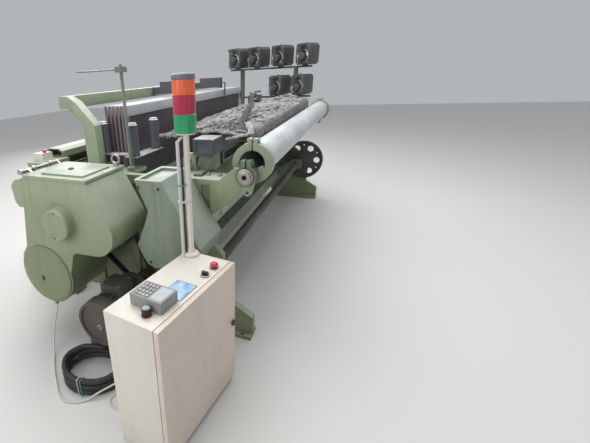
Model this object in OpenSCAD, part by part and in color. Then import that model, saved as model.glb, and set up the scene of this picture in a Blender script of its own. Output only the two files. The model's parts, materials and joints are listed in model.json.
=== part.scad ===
/* [Loom] */
// Distance from the middle of the loom to the outer face of a side frame
frame_out = 1224; // [1180:1:1280]
// Thickness of a side frame casting
frame_t = 40; // [30:1:50]
// Distance from the middle of the object to the middle of the loom
mid_x = 128; // [100:1:160]
// Radius of the back-rest tube
rest_r = 75; // [60:1:80]
// Height of the back-rest journals
journal_z = 873; // [850:1:880]
// Distance from the loom's middle back to the back-rest journals
journal_y = -707; // [-720:1:-700]
// Rise of the tube's centre above its journals
rest_rise = 47; // [40:1:50]
// Spacing of the harness frames
frame_pitch = 27; // [24:1:27]
// Height of the top edge of the harness frames
harness_top = 1160; // [1140:1:1164]

/* [Drive housing] */
// Length of the drive housing along the loom
housing_l = 280; // [260:1:300]
// Height of the drive housing's top face
housing_top = 899; // [880:1:905]
// Radius of the round bulge at the back of the housing
bulge_r = 113; // [100:1:115]
// Radius of the round cover low on the housing
cover_r = 158; // [140:1:160]
// Radius of the cover over the drive shaft's end
shaft_cover_r = 76; // [70:1:85]

/* [Control cabinet] */
// Width of the cabinet
cab_w = 500; // [480:1:520]
// Depth of the cabinet with its door
cab_d = 230; // [220:1:240]
// Height of the cabinet
cab_h = 600; // [580:1:600]
// Angle by which the cabinet is turned from the loom
cab_turn = -8.3; // [-9:0.1:-8]
// Thickness of the cabinet's door
door_t = 20; // [18:1:22]
// Radius of the stack light's pole
pole_r = 12; // [10:1:13]
// Radius of the stack light's lenses
lens_r = 42; // [36:1:43]

/* [Weft feeders] */
// Distance from the loom's middle to the feeders' rails
feeder_x = 1611; // [1600:1:1620]
// Height of the upper feeders' axes
feeder_z = 1415; // [1380:1:1430]

/* [Hidden] */
$fn = 48;

frame_in = frame_out - frame_t;
run_gap = 0.1;            // radial clearance of a running fit
tube_y = journal_y - 13;  // centre of the back-rest tube
tube_z = journal_z + rest_rise;
journal_r = 22;

shaft_y = 60;             // main shaft
shaft_z = 560;
shaft_r = 22;
motor_y = -155;           // motor shaft
motor_z = 251;
rocker_y = 330;           // sley rocker shaft
rocker_z = 430;
rocker_r = 25;
take_up_y = 590;
take_up_z = 720;
take_up_r = 75;
pressure_r = 32;
pressure_y = 500;
pressure_z = 652;
cloth_y = 600;
cloth_z = 380;
cloth_r = 60;
disc_y = -606;            // warp beam coupling disc
disc_z = 425;
disc_r = 191;
tie_y = -559;             // rear tie bar
tie_z = 402;
tie_r = 27;

housing_x = -1610;
bulge_y = -116;
bulge_z = 667;
lobe_y = 220;
lobe_z = 395;
boss_y = 52;
boss_z = 700;

pulley_r = 150;
motor_pulley_r = 60;
belt_t = 8;

cab_x = -2016;            // cabinet's outer corner at the hinge
cab_y = -682;
sheet = 4;
pole_u = 477;
pole_v = 192;
stop_u = 424;
stop_v = 52;
select_u = 356;
knob_u = 54;
knob_v = 88;
lens_z = 1106;            // bottom of the stack light
lens_h = 66;
cap_skirt = 14;           // how far the cap reaches down over the top lens

feeder_ys = [255, 31, -229, -489];
low_feeder_ys = [-212, -450];
low_feeder_z = 1115;
feeder_turn = -20;        // noses point to the weaver's side

// Helpers: a profile drawn in (y, z) is run along the loom from x0 to x1
module span(x0, x1) {
  translate([mid_x + x0, 0, 0]) rotate([90, 0, 90]) linear_extrude(x1 - x0) children();
}

module block(p, q) {
  translate([mid_x + p[0], p[1], p[2]]) cube([q[0] - p[0], q[1] - p[1], q[2] - p[2]]);
}

module rod_x(x0, x1, y, z, r) {
  translate([mid_x + x0, y, z]) rotate([0, 90, 0]) cylinder(h = x1 - x0, r = r);
}

module rod_y(y0, y1, x, z, r) {
  translate([mid_x + x, y0, z]) rotate([-90, 0, 0]) cylinder(h = y1 - y0, r = r);
}

module rod_z(z0, z1, x, y, r) {
  translate([mid_x + x, y, z0]) cylinder(h = z1 - z0, r = r);
}

module far_side() {
  translate([2 * mid_x, 0, 0]) mirror([1, 0, 0]) children();
}

module at_cabinet() {
  translate([mid_x + cab_x, cab_y, 0]) rotate([0, 0, cab_turn]) children();
}

function on_circle(c, r, a) = [c[0] + r * cos(a), c[1] + r * sin(a)];

// Side frames: a ribbed casting with two feet, bearing bosses and a top deck
function frame_outline(reach) = [
  [-750, 20], [-750, 120], [-640, 186], [-reach, 330], [-reach, 455], [-560, 490],
  [-400, 620], [-400, 838], [640, 838], [690, 790], [690, 700], [655, 560],
  [645, 330], [600, 200], [700, 170], [800, 110], [800, 20], [420, 20],
  [380, 110], [-260, 110], [-300, 20]
];

module frame_pockets() {
  polygon([[-360, 240], [-340, 640], [-340, 790], [-90, 790], [-90, 160], [-330, 160]]);
  polygon([[-50, 160], [-50, 470], [110, 470], [180, 400], [180, 160]]);
  polygon([[-50, 650], [-50, 790], [420, 790], [420, 500], [220, 500], [120, 650]]);
  polygon([[230, 160], [230, 350], [430, 350], [480, 560], [560, 560], [540, 160]]);
}

module foot_pad(y0, y1) {
  difference() {
    block([-frame_out - 30, y0, 0], [-frame_in + 30, y1, 20]);
    for (y = [y0 + 50, y1 - 50]) rod_z(-1, 21, -frame_out - 15, y, 9);
  }
}

module side_frame(reach) {
  difference() {
    union() {
      difference() {
        span(-frame_out, -frame_in) polygon(frame_outline(reach));
        span(-frame_out - 1, -frame_out + 12) frame_pockets();
        span(-frame_in - 12, -frame_in + 1) frame_pockets();
      }
      foot_pad(-750, -300);
      foot_pad(420, 800);
      block([-frame_out, -395, 240], [-frame_in, -295, 360]);
      block([-frame_out, 420, 215], [-frame_in, 510, 310]);
      block([-frame_in - 1, -70, 820], [-1036, 300, 838]);
      block([-frame_in - 1, -392, 820], [-1030, -300, 838]);
      block([-frame_out, 500, 837], [-1030, 655, 862]);
      difference() {
        span(-1062, -1036) polygon([[-390, 837], [-390, 906], [-372, 926], [-332, 926], [-305, 890], [-305, 837]]);
        rod_x(-1063, -1035, -351, 885, 15);
      }
      block([-1110, -356, 837], [-1061, -344, 868]);
      rod_x(-frame_out, -frame_in + 14, shaft_y, shaft_z, 52);
      rod_x(-frame_out, -frame_in + 14, rocker_y, rocker_z, 52);
      rod_x(-frame_out, -frame_in + 8, take_up_y, take_up_z, 44);
      rod_x(-frame_out, -frame_in + 8, cloth_y, cloth_z, 38);
    }
    rod_x(-frame_out - 1, -frame_in + 15, shaft_y, shaft_z, shaft_r + run_gap);
    rod_x(-frame_out - 1, -frame_in + 15, rocker_y, rocker_z, rocker_r + run_gap);
    rod_x(-frame_out - 1, -frame_in + 9, take_up_y, take_up_z, 20 + run_gap);
    rod_x(-frame_out - 1, -frame_in + 9, pressure_y, pressure_z, 12 + run_gap);
    rod_x(-frame_out - 1, -frame_in + 9, cloth_y, cloth_z, 15 + run_gap);
  }
}

module near_side_frame() {
  color("darkseagreen") side_frame(590);
}

module far_side_frame() {
  color("darkseagreen") difference() {
    union() {
      far_side() side_frame(650);
      rod_x(frame_in - 26, frame_out, disc_y, disc_z, 64);
      span(frame_in - 36, frame_in + 1) polygon([
        [-500, 300], [-500, 440], [-470, 470], [-390, 470], [-390, 300]
      ]);
    }
    rod_x(frame_in - 27, frame_out + 1, disc_y, disc_z, 25 + run_gap);
  }
}

// Members between the side frames
module hollow_beam(y0, y1, z0, z1) {
  difference() {
    block([-frame_in, y0, z0], [frame_in, y1, z1]);
    block([-frame_in - 1, y0 + 8, z0 + 8], [frame_in + 1, y1 - 8, z1 - 8]);
  }
}

module cross_beams() {
  color("darkolivegreen") {
    hollow_beam(-385, -305, 250, 350);
    hollow_beam(430, 500, 225, 300);
    difference() {
      span(980, 1010) polygon([[-305, 290], [-385, 290], [-608, 364], [-608, 448], [-520, 448], [-385, 350],
        [-305, 350]]);
      rod_x(970, 1020, tie_y, tie_z, tie_r);
      block([970, -384, 249], [1020, -306, 351]);
    }
    difference() {
      rod_x(1009, 1048, -452, 362, 40);
      rod_x(1020, 1049, -452, 362, 20);
    }
  }
}

module rear_tie_bar() {
  color("dimgray") {
    rod_x(-frame_in, 1085, tie_y, tie_z, tie_r);
    rod_x(1062, 1085, tie_y, tie_z, tie_r + 7);
  }
}

// Rear arms: an open casting that ends in a split bearing for the back-rest
module arm_outline() {
  polygon([[-400, 622], [-540, 668], [-742, 842], [-700, 900], [-650, 905], [-577, 843], [-400, 843]]);
}

module rear_arm() {
  difference() {
    union() {
      span(-1222, -1198) arm_outline();
      block([-1222, -577, 829], [-1092, -400, 843]);
      block([-1222, -414, 622], [-1092, -400, 830]);
      block([-1222, -590, 672], [-1140, -578, 832]);
      span(-1222, -1190) polygon([[-560, 690], [-735, 840], [-727, 850], [-552, 700]]);
      rod_x(-1240, -1190, journal_y, journal_z, 46);
      for (s = [-1, 1]) {
        block([-1236, journal_y + s * 13 - 10, journal_z + 30], [-1194, journal_y + s * 13 + 10, journal_z + 70]);
      }
      span(-1234, -1206) polygon([[-745, 850], [-731, 794], [-697, 794], [-680, 845]]);
      rod_x(-1234, -1206, journal_y - 7, 799, 18);
      for (y = [-555, -495]) rod_z(842, 850, -1150, y, 11);
    }
    rod_x(-1241, -1189, journal_y, journal_z, journal_r + run_gap);
    block([-1241, journal_y - 3, journal_z + 20], [-1189, journal_y + 3, journal_z + 71]);
    block([-1223, -527, 694], [-1208, -483, 816]);
    rod_x(-1235, -1205, journal_y - 7, 799, 7);
  }
  clamp_bolt(-1215, journal_y, journal_z + 56, 23);
}

// Bolt that draws a split clamp together: a shank across the slot with a head and a nut
module clamp_bolt(x, y, z, reach) {
  rod_y(y - reach, y + reach, x, z, 5);
  for (s = [-1, 1]) {
    translate([mid_x + x, y + s * (reach + 3), z]) rotate([90, 0, 0]) cylinder(h = 7, r = 10, center = true, $fn = 6);
  }
}

module near_rear_arm() {
  color("darkseagreen") rear_arm();
}

module far_rear_arm() {
  color("darkseagreen") far_side() rear_arm();
}

// Back-rest: a tube clamped at each end in a ring that turns on an eccentric journal
module backrest_tube() {
  color("whitesmoke") difference() {
    rod_x(-1172, 1172, tube_y, tube_z, rest_r);
    rod_x(-1173, 1173, tube_y, tube_z, rest_r - 7);
  }
}

module end_ring() {
  difference() {
    union() {
      rod_x(-1184, -1142, tube_y, tube_z, rest_r + 17);
      for (s = [-1, 1]) {
        block([-1180, tube_y + s * 13 - 9, tube_z + rest_r], [-1146, tube_y + s * 13 + 9, tube_z + rest_r + 34]);
      }
    }
    rod_x(-1172, -1141, tube_y, tube_z, rest_r);
    rod_x(-1185, -1171, tube_y, tube_z, 58);
    block([-1185, tube_y - 3, tube_z + 50], [-1141, tube_y + 3, tube_z + rest_r + 35]);
  }
  clamp_bolt(-1163, tube_y, tube_z + rest_r + 23, 22);
  difference() {
    union() {
      rod_x(-1186, -1172, journal_y, journal_z, 38);
      span(-1184, -1172) polygon([[-735, 838], [-779, 900], [-768, 915], [-700, 880]]);
      span(-1184, -1172) polygon([[-700, 838], [-661, 905], [-672, 915], [-720, 880]]);
      for (s = [-1, 1]) {
        block([-1186, journal_y + s * 15 - 8, journal_z + 28], [-1172, journal_y + s * 15 + 8, journal_z + 54]);
      }
    }
    rod_x(-1187, -1171, journal_y, journal_z, journal_r - 1);
  }
  difference() {
    union() {
      rod_x(-1262, -1172, journal_y, journal_z, journal_r);
      rod_x(-1252, -1241.5, journal_y, journal_z, 37);
      rod_x(-1262, -1251, journal_y, journal_z, 29);
    }
    translate([mid_x, journal_y, journal_z]) rotate([0, 90, 0]) rotate_extrude()
      polygon([[0, -1264], [14, -1264], [11, -1260], [11, -1203], [0, -1196]]);
  }
}

module near_end_ring() {
  color("darkseagreen") end_ring();
}

module far_end_ring() {
  color("darkseagreen") far_side() end_ring();
}

// Drive housing at the near end
module housing_profile() {
  polygon([
    [254, housing_top], [-121, housing_top],
    on_circle([bulge_y, bulge_z], bulge_r, 152), [bulge_y, bulge_z],
    [bulge_y, bulge_z - bulge_r], [1, 549], [18, 537], [76, 364], [150, 300], [220, 250],
    [lobe_y + 150, 480], [326, 537]
  ]);
  translate([bulge_y, bulge_z]) circle(r = bulge_r, $fn = 96);
  translate([lobe_y, lobe_z]) circle(r = cover_r + 8, $fn = 96);
}

module drive_housing() {
  color("darkseagreen") difference() {
    union() {
      span(housing_x, housing_x + housing_l) housing_profile();
      block([-1331, -50, 745], [-frame_out, 250, 820]);
      block([-1331, 250, 300], [-frame_out, 330, 380]);
      span(-1600, -1480) polygon([[253, 890], [322, 880], [352, 850], [346, 770], [326, 745], [270, 745]]);
      rod_z(204, 240, -1590, lobe_y, 10);
    }
    rod_x(-1345, -1329, shaft_y, shaft_z, shaft_r + 3);
  }
}

module housing_lid() {
  color("darkseagreen") {
    difference() {
      block([-1612, -126, housing_top], [-1322, 246, housing_top + 14]);
      for (x = [-1598, -1467, -1336], y = [-112, 232]) rod_z(housing_top + 9, housing_top + 15, x, y, 6);
    }
    block([-1575, -84, housing_top + 13], [-1385, 160, housing_top + 22]);
    rod_z(housing_top + 21, housing_top + 28, -1483, 63, 13);
    for (x = [-1560, -1372]) {
      span(x, x + 14) polygon([[240, 902], [302, 902], [304, 914], [290, 924], [270, 932], [258, 926], [240, 911]]);
    }
    rod_x(-1604, -1330, 268, 922, 7);
    rod_x(-1592, -1330, 292, 912, 6);
    for (x = [-1604, -1530, -1420]) rod_x(x, x + 16, 268, 922, 13);
    translate([mid_x - 1345, -96, housing_top + 13]) {
      cylinder(h = 10, r = 12);
      translate([0, 0, 34]) rotate([0, 90, 0]) rotate_extrude() translate([21, 0]) circle(r = 6, $fn = 24);
    }
  }
}

module shaft_cover() {
  color("darkseagreen") difference() {
    translate([mid_x + housing_x, boss_y, boss_z]) rotate([0, -90, 0]) rotate_extrude($fn = 96)
      polygon([[0, 0], [shaft_cover_r + 6, 0], [shaft_cover_r, 6], [shaft_cover_r, 44],
        [shaft_cover_r - 6, 50], [0, 50]]);
    for (a = [100, 280]) {
      rod_x(housing_x - 51, housing_x - 44, boss_y + 62 * cos(a), boss_z + 62 * sin(a), 5);
    }
  }
}

module round_cover() {
  color("darkseagreen") difference() {
    translate([mid_x + housing_x, lobe_y, lobe_z]) rotate([0, -90, 0]) rotate_extrude($fn = 96)
      polygon([[0, 0], [cover_r, 0], [cover_r, 4], [cover_r - 5, 8], [cover_r - 40, 12], [0, 14]]);
    rod_x(housing_x - 16, housing_x - 2, 238, 366, 10);
    rod_x(housing_x - 16, housing_x - 2, 238, 378, 10);
  }
}

// Sheet cover over the brake and let-off drive
module slanted_guard() {
  color("darkseagreen") difference() {
    span(-1480, -frame_out) polygon([
      [-278, 896], [-411, 896], [-587, 600], [-560, 520], [-520, 490], [-350, 470],
      [-312, 484], [-292, 516], [-263, 580], [-312, 684], [-337, 754]
    ]);
    block([-1462, -395, 878], [-1250, -296, 897]);
  }
}

module far_drive_housing() {
  color("darkseagreen") {
    difference() {
      union() {
        far_side() span(-1480, -frame_out) polygon([
          [250, 860], [-110, 860], [-170, 800], [-190, 700], [-160, 610], [-60, 545], [250, 545]
        ]);
        far_side() span(-1490, -1479) polygon([[230, 840], [-90, 840], [-90, 570], [230, 570]]);
      }
      rod_x(frame_out - 1, frame_out + 20, shaft_y, shaft_z, shaft_r + 3);
    }
    rod_x(1489, 1520, boss_y, boss_z, shaft_cover_r);
  }
}

// Portal that carries the frame guides over the harness
module harness_arch() {
  color("darkseagreen") {
    span(-1100, 1100) portal_beam();
    arch_bracket();
    far_side() arch_bracket();
  }
}

module portal_beam() {
  difference() {
    polygon([[328, 1162], [392, 1162], [392, 1227], [328, 1227]]);
    polygon([[334, 1168], [393, 1168], [393, 1221], [334, 1221]]);
  }
}

module arch_bracket() {
  difference() {
    span(-1150, -1090) polygon([
      [165, 850], [165, 1072], [276, 1194], [330, 1227], [392, 1227], [392, 1162], [328, 1162], [246, 1074], [246, 850]
    ]);
    span(-1138, -1089) polygon([[177, 870], [177, 1068], [270, 1172], [300, 1172], [234, 1084], [234, 870]]);
  }
  block([-1160, 150, 838], [-1080, 262, 851]);
}

module frame_guides() {
  color("darkslategray") for (x = [-230, 510]) {
    block([x, 60, 1180], [x + 46, 262, 1262]);
    block([x, 261, 1180], [x + 46, 328, 1226]);
    block([x + 10, 26, 1216], [x + 36, 61, 1222]);
    block([x + 10, 26, 1110], [x + 36, 30, 1222]);
  }
}

// Shelf with three weft posts beside the harness
module post_shelf() {
  color("dimgray") {
    block([-1132, -78, 900], [-820, 6, 906]);
    block([-1088, 5, 900], [-1022, 214, 906]);
    for (x = [-1085, -1060]) block([x, 20, 838], [x + 18, 40, 901]);
    block([1070, -134, 900], [1268, -12, 906]);
    for (x = [1082, 1130]) block([x, -50, 838], [x + 18, -30, 901]);
    for (p = [[-1055, 180], [-1100, -45], [-870, -40], [1102, -46], [1232, -98]]) {
      translate([mid_x + p[0], p[1], 905]) rotate_extrude()
        polygon([[0, 0], [30, 0], [30, 8], [28, 12], [28, 166], [22, 170], [22, 178], [0, 178]]);
    }
  }
}

module guide_rod() {
  color("darkseagreen") {
    rod_z(838, 1366, -1157, -51, 8);
    rod_z(838, 862, -1157, -51, 20);
    block([-1185, -68, 1330], [-1130, -34, 1356]);
    rod_y(-40, 140, -1170, 1343, 4);
    rod_x(-1260, -1166, 136, 1343, 4);
  }
}

// Warp stop motion: end box, contact rails and the drop wire trough
module stop_motion() {
  color("slategray") {
    difference() {
      block([-1110, -505, 930], [-980, -398, 1008]);
      block([-1111, -490, 944], [-1104, -413, 994]);
    }
    block([-1090, -500, 854], [-1000, -420, 931]);
    difference() {
      span(-981, 1100) polygon([[-500, 940], [-402, 940], [-402, 1000], [-500, 1000]]);
      span(-970, 1090) polygon([[-494, 952], [-408, 952], [-408, 1001], [-494, 1001]]);
    }
    for (y = [-480, -458, -436, -418]) block([-971, y - 2, 951], [1091, y + 2, 1003]);
    for (x = [-960, 0, 1070]) block([x, -500, 854], [x + 20, -402, 941]);
    block([-frame_in, -470, 843], [frame_in, -430, 855]);
  }
}

// Loose warp yarns behind the harness: a plain closed solid
module warp_sheet() {
  color("gray") span(-800, 1060) polygon([
    [24, 930], [-120, 948], [-390, 1003], [-512, 1003], [-628, 1000],
    [-628, 1024], [-512, 1050], [-390, 1056], [-200, 1020], [24, 975]
  ]);
}

// Weaver's side
module breast_beam() {
  color("darkseagreen") {
    difference() {
      span(-1050, 1050) polygon([[530, 862], [655, 862], [655, 780], [662, 780], [662, 900], [640, 915],
        [560, 915], [530, 900]]);
      span(-1051, 1051) polygon([[538, 870], [648, 870], [648, 896], [636, 907], [564, 907], [538, 892]]);
    }
    span(-frame_in, frame_in) polygon([[668, 560], [676, 560], [676, 760], [668, 760]]);
  }
}

module take_up_roller() {
  color("sienna") {
    rod_x(-1020, 1020, take_up_y, take_up_z, take_up_r);
    rod_x(-frame_out - 10, frame_out + 10, take_up_y, take_up_z, 20);
  }
}

module pressure_roller() {
  color("dimgray") {
    rod_x(-1020, 1020, pressure_y, pressure_z, pressure_r);
    rod_x(-frame_out, frame_out, pressure_y, pressure_z, 12);
  }
}

module cloth_roller() {
  color("dimgray") {
    rod_x(-1010, 1010, cloth_y, cloth_z, cloth_r);
    rod_x(-frame_out - 30, frame_out, cloth_y, cloth_z, 15);
  }
}

// Sley: rocker shaft, swords and race beam, with the reed in its groove
module sley() {
  color("darkseagreen") {
    rod_x(-frame_out, frame_out, rocker_y, rocker_z, rocker_r);
    difference() {
      span(-1010, 1010) polygon([[246, 830], [330, 830], [330, 868], [300, 882], [280, 884], [246, 884]]);
      span(-1001, 1001) polygon([[258, 866], [272, 866], [272, 885], [258, 885]]);
    }
    for (x = [-860, -300, 300, 860]) {
      difference() {
        union() {
          span(x - 14, x + 14) polygon([[300, 440], [256, 831], [318, 831], [360, 440]]);
          rod_x(x - 30, x + 30, rocker_y, rocker_z, 44);
        }
        rod_x(x - 31, x + 31, rocker_y, rocker_z, rocker_r - 1);
      }
    }
  }
}

module reed() {
  color("silver") difference() {
    span(-1000, 1000) polygon([[260, 866], [270, 866], [270, 1000], [260, 1000]]);
    for (i = [0:79]) block([-988 + i * 24.8, 259, 890], [-988 + i * 24.8 + 17, 271, 986]);
  }
}

// Harness frames: rails, end stays and a row of heddles
module harness_frame(i) {
  y = 54 + i * frame_pitch;
  color("silver") {
    difference() {
      block([-1003, y - 9, harness_top - 57], [1028, y + 9, harness_top]);
      block([-1004, y - 4, harness_top - 58], [1029, y + 4, harness_top - 8]);
    }
    block([-1003, y - 9, 690], [1028, y + 9, 730]);
    for (x = [-1003, 1006]) block([x, y - 8, 729], [x + 22, y + 8, harness_top - 3]);
    for (x = [-967:56:990]) block([x, y - 1.5, 729], [x + 26, y + 1.5, harness_top - 7]);
  }
}

module harness_frame_1() {
  harness_frame(0);
}

module harness_frame_2() {
  harness_frame(1);
}

module harness_frame_3() {
  harness_frame(2);
}

module harness_frame_4() {
  harness_frame(3);
}

module harness_frame_5() {
  harness_frame(4);
}

module harness_frame_6() {
  harness_frame(5);
}

// Main drive: motor, belt and the shaft with its flywheel
module main_shaft() {
  color("dimgray") {
    rod_x(-1340, 1236, shaft_y, shaft_z, shaft_r);
    difference() {
      rod_x(-1312, -1244, shaft_y, shaft_z, pulley_r);
      for (s = [-1313, -1264]) {
        difference() {
          rod_x(s, s + 21, shaft_y, shaft_z, pulley_r - 16);
          rod_x(s - 1, s + 22, shaft_y, shaft_z, 46);
        }
      }
    }
  }
}

module motor_pulley() {
  color("dimgray") {
    difference() {
      rod_x(-1312, -1252, motor_y, motor_z, motor_pulley_r);
      rod_x(-1262, -1251, motor_y, motor_z, motor_pulley_r - 12);
    }
    rod_x(-1400, -1311, motor_y, motor_z, 14);
  }
}

// Belt outline round the two pulleys, at the given height over their rims
function belt_points(h) =
  let (
    c1 = [shaft_y, shaft_z], c2 = [motor_y, motor_z],
    run = atan2(c2[1] - c1[1], c2[0] - c1[0]),
    off = acos((pulley_r - motor_pulley_r) / norm(c2 - c1))
  )
  concat(
    [for (i = [0:30]) on_circle(c1, pulley_r + h, run + off + i * (360 - 2 * off) / 30)],
    [for (i = [0:16]) on_circle(c2, motor_pulley_r + h, run - off + i * off / 8)]
  );

module drive_belt() {
  color("black") span(-1300, -1264) difference() {
    polygon(belt_points(belt_t));
    polygon(belt_points(0.5));
  }
}

module motor_housing() {
  color("dimgray") {
    difference() {
      union() {
        rod_x(-1700, -1636, motor_y, motor_z, 117);
        rod_x(-1637, -1420, motor_y, motor_z, 98);
        rod_x(-1421, -1390, motor_y, motor_z, 110);
        for (a = [0:15:345]) {
          translate([mid_x - 1637, motor_y, motor_z]) rotate([a, 0, 0])
            translate([0, -2, 94]) cube([218, 4, 14]);
        }
        block([-1590, motor_y - 55, motor_z + 84], [-1480, motor_y + 55, motor_z + 142]);
        block([-1600, motor_y - 105, 132], [-1440, motor_y + 105, 150]);
        block([-1600, motor_y - 65, 149], [-1440, motor_y + 65, 185]);
      }
      difference() {
        rod_x(-1701, -1693, motor_y, motor_z, 103);
        rod_x(-1699, -1692, motor_y, motor_z - 20, 14);
      }
      rod_x(-1700, -1694, motor_y, motor_z - 20, 7);
      rod_x(-1410, -1389, motor_y, motor_z, 14 + run_gap);
    }
    difference() {
      block([-1640, motor_y - 130, 0], [-1400, motor_y + 130, 133]);
      block([-1632, motor_y - 122, 8], [-1399, motor_y + 122, 125]);
    }
  }
}

module beam_disc() {
  color("dimgray") difference() {
    union() {
      rod_x(1112, 1140, disc_y, disc_z, disc_r);
      rod_x(1090, frame_in - 27, disc_y, disc_z, 58);
      rod_x(frame_in - 28, frame_out + 8, disc_y, disc_z, 25);
    }
    difference() {
      rod_x(1111, 1122, disc_y, disc_z, disc_r - 16);
      rod_x(1110, 1123, disc_y, disc_z, 76);
    }
    for (a = [0:60:300]) {
      rod_x(1100, 1141, disc_y + 130 * cos(a), disc_z + 130 * sin(a), 30);
    }
    for (a = [30:60:330]) {
      rod_x(1100, 1141, disc_y + 150 * cos(a), disc_z + 150 * sin(a), 7);
    }
  }
}

// Weft feeders on their stand at the far end
module feeder_place(y, z) {
  translate([mid_x + feeder_x, y, z]) rotate([0, 0, feeder_turn]) children();
}

module feeder_body() {
  translate([-70, 0, 0]) rotate([90, 0, 90]) linear_extrude(200)
    polygon([[-78, -60], [-56, -82], [56, -82], [78, -60], [78, 96], [56, 124], [-56, 124], [-78, 96]]);
  translate([-150, -26, 92]) cube([81, 52, 24]);
  translate([-20, -22, -92]) cube([40, 44, 11]);
}

module feeder_stand() {
  color("darkslategray") {
    for (y = [-395, 200]) {
      difference() {
        block([feeder_x - 20, y - 20, 0], [feeder_x + 20, y + 20, feeder_z - 90]);
        block([feeder_x - 16, y - 16, 10], [feeder_x + 16, y + 16, feeder_z - 100]);
      }
      block([feeder_x - 110, y - 25, 0], [feeder_x + 120, y + 25, 12]);
    }
    for (z = [feeder_z, low_feeder_z]) block([feeder_x - 18, -560, z - 108], [feeder_x + 18, 340, z - 89]);
    for (i = [1:3]) {
      feeder_place(feeder_ys[i], feeder_z) difference() {
        feeder_body();
        translate([-71, 0, 0]) rotate([0, 90, 0]) cylinder(h = 30, r = 12 + run_gap);
      }
    }
    feeder_place(feeder_ys[0], feeder_z) fixed_feeder();
    for (y = low_feeder_ys) feeder_place(y, low_feeder_z) fixed_feeder();
    for (y = [20, 256]) {
      block([feeder_x - 30, y - 30, low_feeder_z - 90], [feeder_x + 30, y + 30, low_feeder_z - 30]);
      rod_x(feeder_x - 80, feeder_x - 29, y, low_feeder_z - 58, 18);
    }
  }
}

module fixed_feeder() {
  feeder_body();
  translate([-69, 0, 0]) feeder_drum();
}

module feeder_drum() {
  rotate([0, -90, 0]) {
    cylinder(h = 24, r = 12);
    translate([0, 0, 6]) difference() {
      cylinder(h = 12, r = 70);
      translate([0, 0, -1]) cylinder(h = 20, r = 54);
    }
    translate([0, 0, 4]) cylinder(h = 54, r = 42);
    for (a = [0:60:300]) rotate([0, 0, a]) translate([40, -3, 8]) cube([16, 6, 8]);
  }
}

module feeder_ring(i) {
  color("gainsboro") feeder_place(feeder_ys[i], feeder_z) translate([-72, 0, 0]) {
    feeder_drum();
    rotate([0, 90, 0]) cylinder(h = 24, r = 12);
  }
}

module feeder_ring_1() {
  feeder_ring(1);
}

module feeder_ring_2() {
  feeder_ring(2);
}

module feeder_ring_3() {
  feeder_ring(3);
}

// Control cabinet, drawn from its outer corner at the hinge
module cabinet_body() {
  color("linen") at_cabinet() difference() {
    union() {
      translate([0, door_t + 2, 0]) cube([cab_w, cab_d - door_t - 2, cab_h]);
      for (g = [[335, 50, 20], [120, 45, 10]]) {
        translate([g[0], cab_d - 1, g[1]]) rotate([-90, 0, 0]) cylinder(h = 22, r = g[2]);
      }
    }
    translate([sheet, door_t + 1, 30 + sheet]) cube([cab_w - 2 * sheet, cab_d - door_t - sheet - 1, cab_h - 30 - 2 * sheet]);
    translate([-1, door_t + 1, -1]) cube([cab_w + 2, 21, 31]);
    translate([stop_u, stop_v, cab_h - 10]) cylinder(h = 20, r = 10.5 + run_gap);
    translate([select_u, stop_v, cab_h - 10]) cylinder(h = 20, r = 8.5 + run_gap);
    translate([knob_u, knob_v, cab_h - 10]) cylinder(h = 20, r = 5.5 + run_gap);
  }
}

module cabinet_gear() {
  color("silver") at_cabinet() {
    translate([25, cab_d - sheet - 14, 60]) cube([cab_w - 50, 14, cab_h - 110]);
    for (z = [110, 250, 390]) {
      translate([40, cab_d - sheet - 22, z]) cube([cab_w - 80, 9, 35]);
    }
    for (i = [0:7]) {
      translate([50 + i * 48, cab_d - sheet - 88, 95]) cube([42, 68, 70]);
    }
    for (i = [0:5]) {
      translate([60 + i * 58, cab_d - sheet - 100, 232]) cube([46, 80, 80]);
    }
    translate([60, cab_d - sheet - 120, 375]) cube([150, 100, 110]);
    translate([260, cab_d - sheet - 90, 375]) cube([170, 70, 90]);
  }
}

module cabinet_door() {
  color("linen") at_cabinet() translate([0, 0, 30]) difference() {
    union() {
      difference() {
        cube([cab_w, door_t, cab_h - 30]);
        translate([2, 2, 2]) cube([cab_w - 4, door_t, cab_h - 34]);
      }
      translate([10, 1, 10]) cube([cab_w - 20, 3, cab_h - 50]);
    }
    translate([cab_w - 21, -1, 294]) rotate([-90, 0, 0]) cylinder(h = 6, r = 6 + run_gap);
  }
}

module door_latch() {
  color("dimgray") at_cabinet() translate([cab_w - 21, 0, 324]) rotate([90, 0, 0]) {
    difference() {
      translate([0, 0, 0.3]) cylinder(h = 8, r = 13);
      translate([-3, -10, 3]) cube([6, 20, 6]);
    }
    translate([0, 0, -30]) cylinder(h = 31, r = 6);
    translate([-6, -28, -32]) cube([12, 36, 4]);
  }
}

module stop_button() {
  color("red") at_cabinet() translate([stop_u, stop_v, cab_h - 12]) rotate_extrude()
    polygon([[0, 0], [10.5, 0], [10.5, 20], [15, 21], [17, 24], [16, 30], [11, 34], [0, 35]]);
}

module selector_switch() {
  color("black") at_cabinet() translate([select_u, stop_v, cab_h - 12]) {
    cylinder(h = 14, r = 8.5);
    translate([0, 0, 13]) cylinder(h = 6, r = 13);
    translate([-4, -13, 18]) cube([8, 26, 12]);
  }
}

module control_knob() {
  color("black") at_cabinet() translate([knob_u, knob_v, cab_h - 10]) {
    cylinder(h = 14, r = 5.5);
    translate([0, 0, 13]) difference() {
      cylinder(h = 24, r = 16);
      for (a = [0:45:315]) rotate([0, 0, a]) translate([18, 0, -1]) cylinder(h = 26, r = 4);
    }
  }
}

module instrument_box() {
  color("gray") at_cabinet() translate([75, 44, cab_h]) difference() {
    cube([92, 132, 44]);
    translate([8, 62, 41]) cube([76, 60, 4]);
  }
}

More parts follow.
